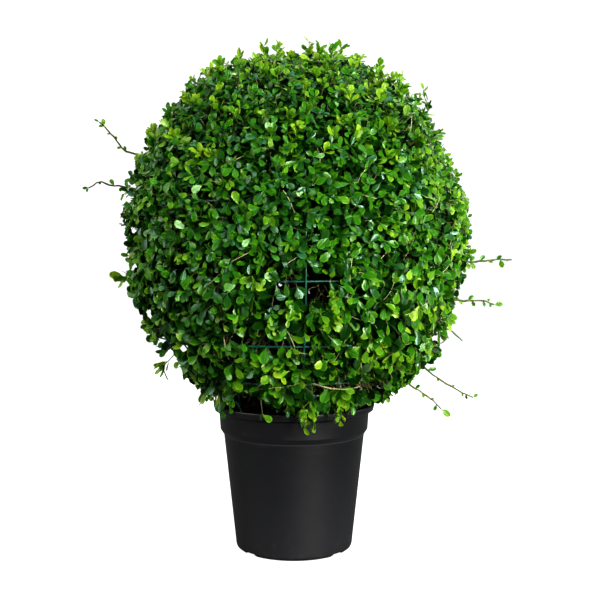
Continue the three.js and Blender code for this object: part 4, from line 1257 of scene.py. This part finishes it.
def leaf_finish(name, colour, gloss, sheen, paler):
    """A waxy leaf: a pale midrib and rim on its own map, and a slight change of tone from place to place."""
    finish = Finish(name, {"Specular IOR Level": gloss, "IOR": 1.45, "Specular Tint": (*sheen, 1)})
    own = finish.node("ShaderNodeUVMap", settings={"uv_map": "own_map"})
    across, along = (finish.node("ShaderNodeSeparateXYZ", {0: own}, output=axis) for axis in (0, 1))
    off_middle = abs(across - 0.5) * 2
    rib = 1 - (off_middle / 0.09).clipped()
    margin = (off_middle * (along * 0.7 + 0.3) + along * 0.45).clipped(0.6, 1.2)
    tone = finish.noise(finish.place(), 30, detail=3)
    base = np.array(colour)
    dark, light = ((*(base * swing), 1) for swing in TONE_SWING)
    rim = (*np.minimum(base * paler, 1), 1)
    body = finish.blend((tone * 0.9 + off_middle * along * 0.35).clipped(0.35, 0.85), dark, light)
    edged = finish.blend((margin * margin * 1.1 + rib * 0.35).clipped(), body, rim)
    finish.show(
        Base_Color=edged,
        Roughness=0.19 + tone * 0.20,
        Normal=finish.bump(rib * -0.5 + finish.noise(finish.place(), 190) * 0.7, 0.32, 0.0012),
    )
    through = finish.node("ShaderNodeBsdfTranslucent", {"Color": (*(base * LIGHT_THROUGH), 1)})
    skin = Value(finish, finish.shader.outputs[0])
    mixed = finish.node("ShaderNodeMixShader", {0: SHARE_THROUGH, 1: skin, 2: through})
    finish.feed(finish.tree.nodes["Material Output"].inputs["Surface"], mixed)
    return finish


def turned_about(vectors, axes, angles):
    """Vectors turned about unit axes, by angles in radians."""
    c, s = np.cos(angles)[..., None], np.sin(angles)[..., None]
    dot = np.sum(vectors * axes, axis=-1, keepdims=True)
    return vectors * c + np.cross(axes, vectors) * s + axes * dot * (1 - c)


def leaves_on(paths, ways, shares, lean):
    """Leaves in turns round each path at shares of its length, as arrays with one row a leaf. Each leans off
    the path by some degrees, lean giving the least and the most."""
    count, rows = paths.shape[:2]
    shares = np.clip(shares, 0, 1)
    spots = shares * (rows - 1)
    row = np.minimum(spots.astype(int), rows - 2)
    part = (spots - row)[..., None]
    index = np.arange(count)[:, None]
    base = paths[index, row] * (1 - part) + paths[index, row + 1] * part
    along = unit(paths[index, row + 1] - paths[index, row])
    across = unit(np.cross(along, np.array([0.31, 0.17, 0.93])))
    rolls = chance.uniform(0, 2 * np.pi, (count, 1))
    rolls = rolls + np.arange(shares.shape[1]) * math.radians(GOLDEN_ANGLE)
    sideways = turned_about(across, along, rolls)
    spread = np.radians(chance.uniform(*lean, shares.shape))[..., None]
    blade = along * np.cos(spread) + sideways * np.sin(spread)
    outward = np.repeat(ways[:, None], shares.shape[1], axis=1)
    return {
        "base": base.reshape(-1, 3),
        "along": blade.reshape(-1, 3),
        "way": outward.reshape(-1, 3),
        "share": shares.reshape(-1),
        "twig": np.repeat(np.arange(count), shares.shape[1]),
    }


def ramp(values, start, width):
    """0 up to a start, 1 from a width further on, and in between the share of the way."""
    return np.clip((values - start) / width, 0, 1)


def dressed(leaves, droop, size=1):
    """Gives leaves their hang, face, size and form."""
    count = len(leaves["base"])
    to_right, back, level = leaves["way"].T
    sag = droop * np.interp(level, [-0.8, 0.2, 0.9], [1.0, 0.45, 0.0])
    leaves["along"] = unit(leaves["along"] - UP * sag[:, None])
    face = leaves["way"] + np.array([0, -0.2, 0.62]) + chance.normal(scale=0.56, size=(count, 3))
    at_edge = ramp(np.abs(to_right), 0.55, 0.35) + ramp(level, 0.6, 0.3)
    face -= np.array([0, 0.75, 0]) * (at_edge * (back < 0.3))[:, None]
    face = face - leaves["along"] * np.sum(face * leaves["along"], axis=1)[:, None]
    leaves["face"] = unit(face)
    young = np.interp(leaves["share"], [0.8, 1.0], [1.0, 0.78])
    finer = 1 - 0.22 * ramp(to_right, 0.62, 0.3) * ramp(level, -0.3, 0.3)
    usual = np.interp(level, *LEAF_LENGTHS)
    leaves["length"] = usual * chance.uniform(*LEAF_SIZES, count) * young * finer * size
    leaves["width"] = chance.uniform(*LEAF_WIDTHS, count)
    for key, (middle, swing) in LEAF_FORM.items():
        leaves[key] = chance.normal(middle, swing, count)
    return leaves


def kept(leaves, mask):
    """The leaves that a mask or a list of row numbers picks."""
    return {key: values[mask] for key, values in leaves.items()}


def together(groups):
    """Groups of leaves as one."""
    return {key: np.concatenate([group[key] for group in groups]) for key in groups[0]}


def points_on(leaves, share=1.0):
    """The point of each leaf at a share of its length. 1 is its tip."""
    return leaves["base"] + leaves["along"] * leaves["length"][:, None] * share


def in_opening(leaves):
    """Whether leaves would cover one of the openings or holes."""
    covered = np.zeros(len(leaves["base"]), dtype=bool)
    in_front = leaves["base"][:, 1] < OPENINGS_FRONT
    for share in (0.0, 0.25, 0.5, 0.75, 1.0):
        spots = on_picture(points_on(leaves, share))
        for start, end, width in OPENINGS:
            start, end = np.array(start), np.array(end)
            run = end - start
            part = np.clip((spots - start) @ run / (run @ run), 0, 1)
            off = np.linalg.norm(spots - start - part[:, None] * run, axis=1)
            covered |= in_front & (share > 0) & (off < width)
        for across, down, width in HOLES:
            covered |= np.linalg.norm(spots - [across, down], axis=1) < width
    return covered


def clear_of_pot(points, slack):
    """Whether points miss the pot's rim and wall and the peat."""
    radius = np.hypot(points[:, 0], points[:, 1])
    at_wall = (radius > POT_RIM_RADIUS - RIM_WIDTH - slack) & (radius < POT_RIM_RADIUS + slack)
    at_wall &= points[:, 2] < POT_HEIGHT + slack
    under = (radius < POT_RIM_RADIUS) & (points[:, 2] < soil_top + slack)
    return ~at_wall & ~under


def within(ways, azimuth, zenith, width):
    """Whether ways point to within so many degrees of a direction."""
    return ways @ direction(azimuth, zenith) > math.cos(math.radians(width))


cluster_shares = np.repeat(CLUSTERS, LEAVES_PER_CLUSTER)
twig_shares = cluster_shares[None] + chance.uniform(-0.02, 0.01, (TWIG_COUNT, len(cluster_shares)))
twig_leaves = leaves_on(twigs, twig_ways, twig_shares, lean=(36, 84))
runner_shares = np.linspace(0.25, 1.0, LEAVES_PER_RUNNER)[None]
runner_shares = runner_shares + chance.uniform(-0.04, 0.0, (RUNNER_COUNT, LEAVES_PER_RUNNER))
runner_leaves = leaves_on(runners, runner_ways, runner_shares, lean=(35, 80))
twig_tint = chance.normal(size=TWIG_COUNT + RUNNER_COUNT)
runner_leaves["twig"] = runner_leaves["twig"] + TWIG_COUNT
leaves = together([dressed(twig_leaves, droop=0.55), dressed(runner_leaves, droop=0.5, size=0.88)])
tips = points_on(leaves)
tip_ways = unit(tips - ball_centre)
skirt = 14 * ramp(-tip_ways[:, 2], 0.78, 0.12)
slack = chance.uniform(-9, 5, len(tips)) + chance.exponential(2.2, len(tips)) + skirt
inside = np.linalg.norm(tips - ball_centre, axis=1) < edge(tip_ways) + slack
inside &= np.concatenate([twig_clear, runner_clear])[leaves["twig"]]
thinned = chance.uniform(size=len(tips)) < np.interp(tip_ways[:, 2], [-0.6, 0.1], [0.16, 0.0])
for azimuth, zenith, width in SPARSE:
    thinned |= within(tip_ways, azimuth, zenith, width) & (chance.uniform(size=len(tips)) < SPARSE_SHARE)
leaves = kept(leaves, inside & ~thinned & clear_of_pot(tips, 3) & clear_of_pot(leaves["base"], 2))
leaves = kept(leaves, ~in_opening(leaves))

# How new a leaf is and so how yellow: mostly by twig, and in part by where it grows.
NEWNESS_STEPS = [-0.30, 0.65, 1.5]  # from deep to green, fresh and young
to_right, _, level = leaves["way"].T
fresh = (
    0.55 * twig_tint[leaves["twig"]]
    + 0.45 * chance.normal(size=len(level))
    + 0.4 * np.clip(level, 0, 1) ** 2  # newer towards the top
    + 0.5 * ramp(level, 0.8, 0.15)  # and most of all on top
    + 0.06 * to_right
    + 0.25 * ramp(-to_right, 0.6, 0.3)  # a little at the left edge
    - 0.4 * np.clip(1 - np.hypot(to_right, level - 0.15) / 0.75, 0, 1)  # older in the middle
    + 0.4 * np.clip(-level - 0.3, 0, 0.3) / 0.3  # newer low down
    - 0.5 * ramp(-level, 0.78, 0.08)  # but not underneath
    + 0.5 * np.clip(to_right, 0, 0.4) * (level < -0.2)  # and at the lower right
)
tint = np.digitize(fresh, NEWNESS_STEPS) + DEEP
for azimuth, zenith, width, more in FRESH_SPRAYS:
    tint[within(leaves["way"], azimuth, zenith, width) & (chance.uniform(size=len(tint)) < more)] += 1
tint = np.minimum(tint, YOUNG)
# Painted shade: leaves further in along each twig take the shaded tone. All of those short of 0.85 of its
# length take it, and a little over half of those up to 0.94; the rest are kept at green or darker.
below = (leaves["share"] > 0.85) & (leaves["share"] < 0.94)
tint[below] = np.where(chance.uniform(size=np.sum(below)) < 0.45, np.minimum(tint[below], GREEN), SHADED)
tint[leaves["share"] < 0.85] = SHADED
tint[(level < -0.45) & (chance.uniform(size=len(tint)) < 0.002)] = DRY

# Older leaves stand deeper inside, always in the shade, and they take the shaded tone, which is painted
# shade.
inner_ways = swayed(even_ways(INNER_LEAF_COUNT, INNER_LEAF_LOWEST, turn=77), 0.03)
inner = {
    "base": on_crown(inner_ways, chance.uniform(*INNER_LEAF_INSET, INNER_LEAF_COUNT)),
    "along": unit(chance.normal(size=(INNER_LEAF_COUNT, 3))),
    "way": inner_ways,
    "share": np.zeros(INNER_LEAF_COUNT),
    "twig": np.zeros(INNER_LEAF_COUNT, dtype=int),
}
inner = dressed(inner, droop=0.3, size=1.5)
inner = kept(inner, clear_of_pot(points_on(inner), 2) & ~in_opening(inner))

# The other shoots' leaves: how many, from which share of the stem on, their lengths and their tones. A leafy
# shoot's lengths are shares of the length that SHOOTS gives.
WIRY_LEAVES = (16, 0.42, (6, 12), [GREEN, GREEN, FRESH])
LEAFY_LEAVES = (15, 0.5, (0.5, 0.85), [GREEN, FRESH, FRESH, YOUNG, YOUNG])
# And those of the first shoots, which show best: which shoot, the share of its length, the leaf's length, and
# its lean in degrees from the stem as the front view shows it, upwards or downwards.
FIRST_SHOOTS = 7
SHOOT_LEAVES = [
    (0, 0.52, 9, -60), (0, 0.60, 8, 50), (0, 0.72, 7, -25), (0, 0.80, 6, 30), (0, 0.93, 11, -30),
    (0, 0.97, 8, 45), (0, 1.00, 9, 10), (1, 0.40, 14, 50), (1, 0.46, 12, -55), (1, 0.55, 9, 60),
    (1, 0.62, 13, -60), (1, 0.85, 6, 30), (1, 1.00, 10, -30), (1, 0.98, 7, 30), (2, 0.34, 12, -45),
    (2, 0.40, 13, 60), (2, 0.46, 11, -60), (2, 0.50, 13, 50), (2, 0.60, 11, -50), (2, 0.68, 8, 25),
    (2, 0.86, 13, 80), (2, 0.84, 10, -30), (2, 0.97, 5, 20), (3, 0.45, 9, 40), (3, 0.58, 11, -35),
    (3, 0.66, 10, 55), (3, 0.84, 9, 60), (3, 0.95, 7, 40), (3, 1.00, 13, -25), (3, 0.90, 7, -60),
    (5, 0.38, 11, 40), (5, 0.48, 14, -55), (5, 0.60, 7, 30), (5, 0.74, 6, -30), (5, 0.97, 8, 60),
    (5, 1.00, 9, -60), (5, 0.88, 6, 40), (6, 0.36, 17, -70), (6, 0.42, 15, -50), (6, 0.60, 9, -60),
    (6, 0.70, 7, 35), (6, 0.82, 6, -30), (6, 0.94, 10, 60), (6, 1.00, 17, -15),
]
shoot_number, shoot_share, shoot_leaf, shoot_lean = np.array(SHOOT_LEAVES, dtype=float).T
shoot_number = shoot_number.astype(int)
shoot_row = np.minimum((shoot_share * (SHOOT_ROWS - 1)).astype(int), SHOOT_ROWS - 2)
shoot_run = unit(shoot_lines[shoot_number, shoot_row + 1] - shoot_lines[shoot_number, shoot_row])
shoot_side = unit(np.cross(shoot_run, np.sign(shoot_run[:, :1]) * np.array([0, -1.0, 0])))
shoot_angle = np.radians(shoot_lean)[:, None]
front_leaves = {
    "base": shoot_lines[shoot_number, np.round(shoot_share * (SHOOT_ROWS - 1)).astype(int)],
    "along": unit(shoot_run * np.cos(shoot_angle) + shoot_side * np.sin(shoot_angle)),
    "way": unit(shoot_lines[shoot_number, -1] - ball_centre),
    "share": np.full(len(shoot_number), 0.9),
    "twig": np.zeros(len(shoot_number), dtype=int),
}
front_leaves = dressed(front_leaves, droop=0)
front_leaves["length"] = shoot_leaf * 1.3
front_leaves["width"] = chance.uniform(1.0, 1.25, len(shoot_leaf))
roughly_up = chance.normal(scale=0.4, size=(len(shoot_leaf), 3)) + UP
level_side = unit(np.cross(front_leaves["along"], roughly_up))
front_leaves["face"] = unit(np.cross(level_side, front_leaves["along"]) + [0, -2.4, 0.0])
shoot_groups = [front_leaves]
shoot_tints = [np.where(chance.uniform(size=len(shoot_leaf)) < 0.6, GREEN, FRESH)]
shoot_ways = unit(shoot_lines[:, -1] - ball_centre)
for number, (leaf, _) in enumerate(SHOOTS[FIRST_SHOOTS:], FIRST_SHOOTS):
    count, first_share, lengths, tones = WIRY_LEAVES if wiry[number] else LEAFY_LEAVES
    shares = np.linspace(first_share, 1.0, count)[None]
    group = leaves_on(shoot_lines[[number]], shoot_ways[[number]], shares, lean=(20, 58))
    group = dressed(group, droop=0.12)
    group["length"] = chance.uniform(*lengths, count) * (1 if wiry[number] else leaf)
    shoot_groups.append(group)
    shoot_tints.append(chance.choice(tones, count))

hanger_shares = chance.uniform(-0.04, 0, (hanger_count, LEAVES_PER_HANGER))
hanger_shares = np.linspace(0.45, 1.0, LEAVES_PER_HANGER)[None] + hanger_shares
hanger_leaves = leaves_on(hangers, hanger_level, hanger_shares, lean=(25, 65))
hanger_leaves = dressed(hanger_leaves, droop=0.6, size=0.88)
hanger_clear = clear_of_pot(points_on(hanger_leaves), 2) & clear_of_pot(hanger_leaves["base"], 2)
hanger_clear &= (chance.uniform(size=len(hanger_clear)) < 0.8) & ~in_opening(hanger_leaves)
hanger_leaves = kept(hanger_leaves, hanger_clear)
hanger_tint = np.digitize(chance.normal(0.05, 1, len(hanger_leaves["base"])), [-0.7, 0.6, 1.7]) + DEEP
hanger_spots = on_picture(hanger_leaves["base"] + hanger_leaves["along"] * 10)
hanger_in_front = hanger_leaves["base"][:, 1] < 0
for spot in DRY_SPOTS:
    off = np.where(hanger_in_front, np.linalg.norm(hanger_spots - spot, axis=1), np.inf)
    hanger_tint[np.argmin(off)] = DRY

sprig_shares = chance.uniform(-0.04, 0, (SPRIG_COUNT, LEAVES_PER_SPRIG))
sprig_shares = np.linspace(0.35, 1.0, LEAVES_PER_SPRIG)[None] + sprig_shares
sprig_leaves = leaves_on(sprigs, sprig_ways, sprig_shares, lean=(16, 48))
sprig_leaves = dressed(sprig_leaves, droop=0, size=0.86)
sprig_fresh = np.repeat(chance.normal(0.35, 0.8, SPRIG_COUNT), LEAVES_PER_SPRIG)
sprig_fresh += chance.normal(0, 0.4, LEAVES_PER_SPRIG * SPRIG_COUNT)
sprig_fresh += 0.5 * np.repeat(ramp(sprig_ways[:, 2], 0.75, 0.15), LEAVES_PER_SPRIG)
sprig_tint = np.digitize(sprig_fresh, [-0.4, 1.0]) + GREEN

leaves = together([leaves, inner, sprig_leaves, *shoot_groups, hanger_leaves])
inner_tint = np.full(len(inner["base"]), SHADED)
tint = np.concatenate([tint, inner_tint, sprig_tint, *shoot_tints, hanger_tint])

foliage_nodes = [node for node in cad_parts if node.startswith("foliage_")]
for number, (name, tone) in enumerate(TINTS.items()):
    finish = leaf_finish(name, *tone)
    same = np.flatnonzero(tint == number)
    parts = np.array_split(same, math.ceil(len(same) / MOST_IN_PIECE))
    for part, chosen in enumerate(parts, 1):
        vertices, faces, spots = leaf_arrays(kept(leaves, chosen))
        piece = new_piece(f"{name}_{part}" if len(parts) > 1 else name, vertices, faces, finish, spots)
        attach(piece, "root")
        if number == GREEN and part == 1:
            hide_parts(*foliage_nodes)
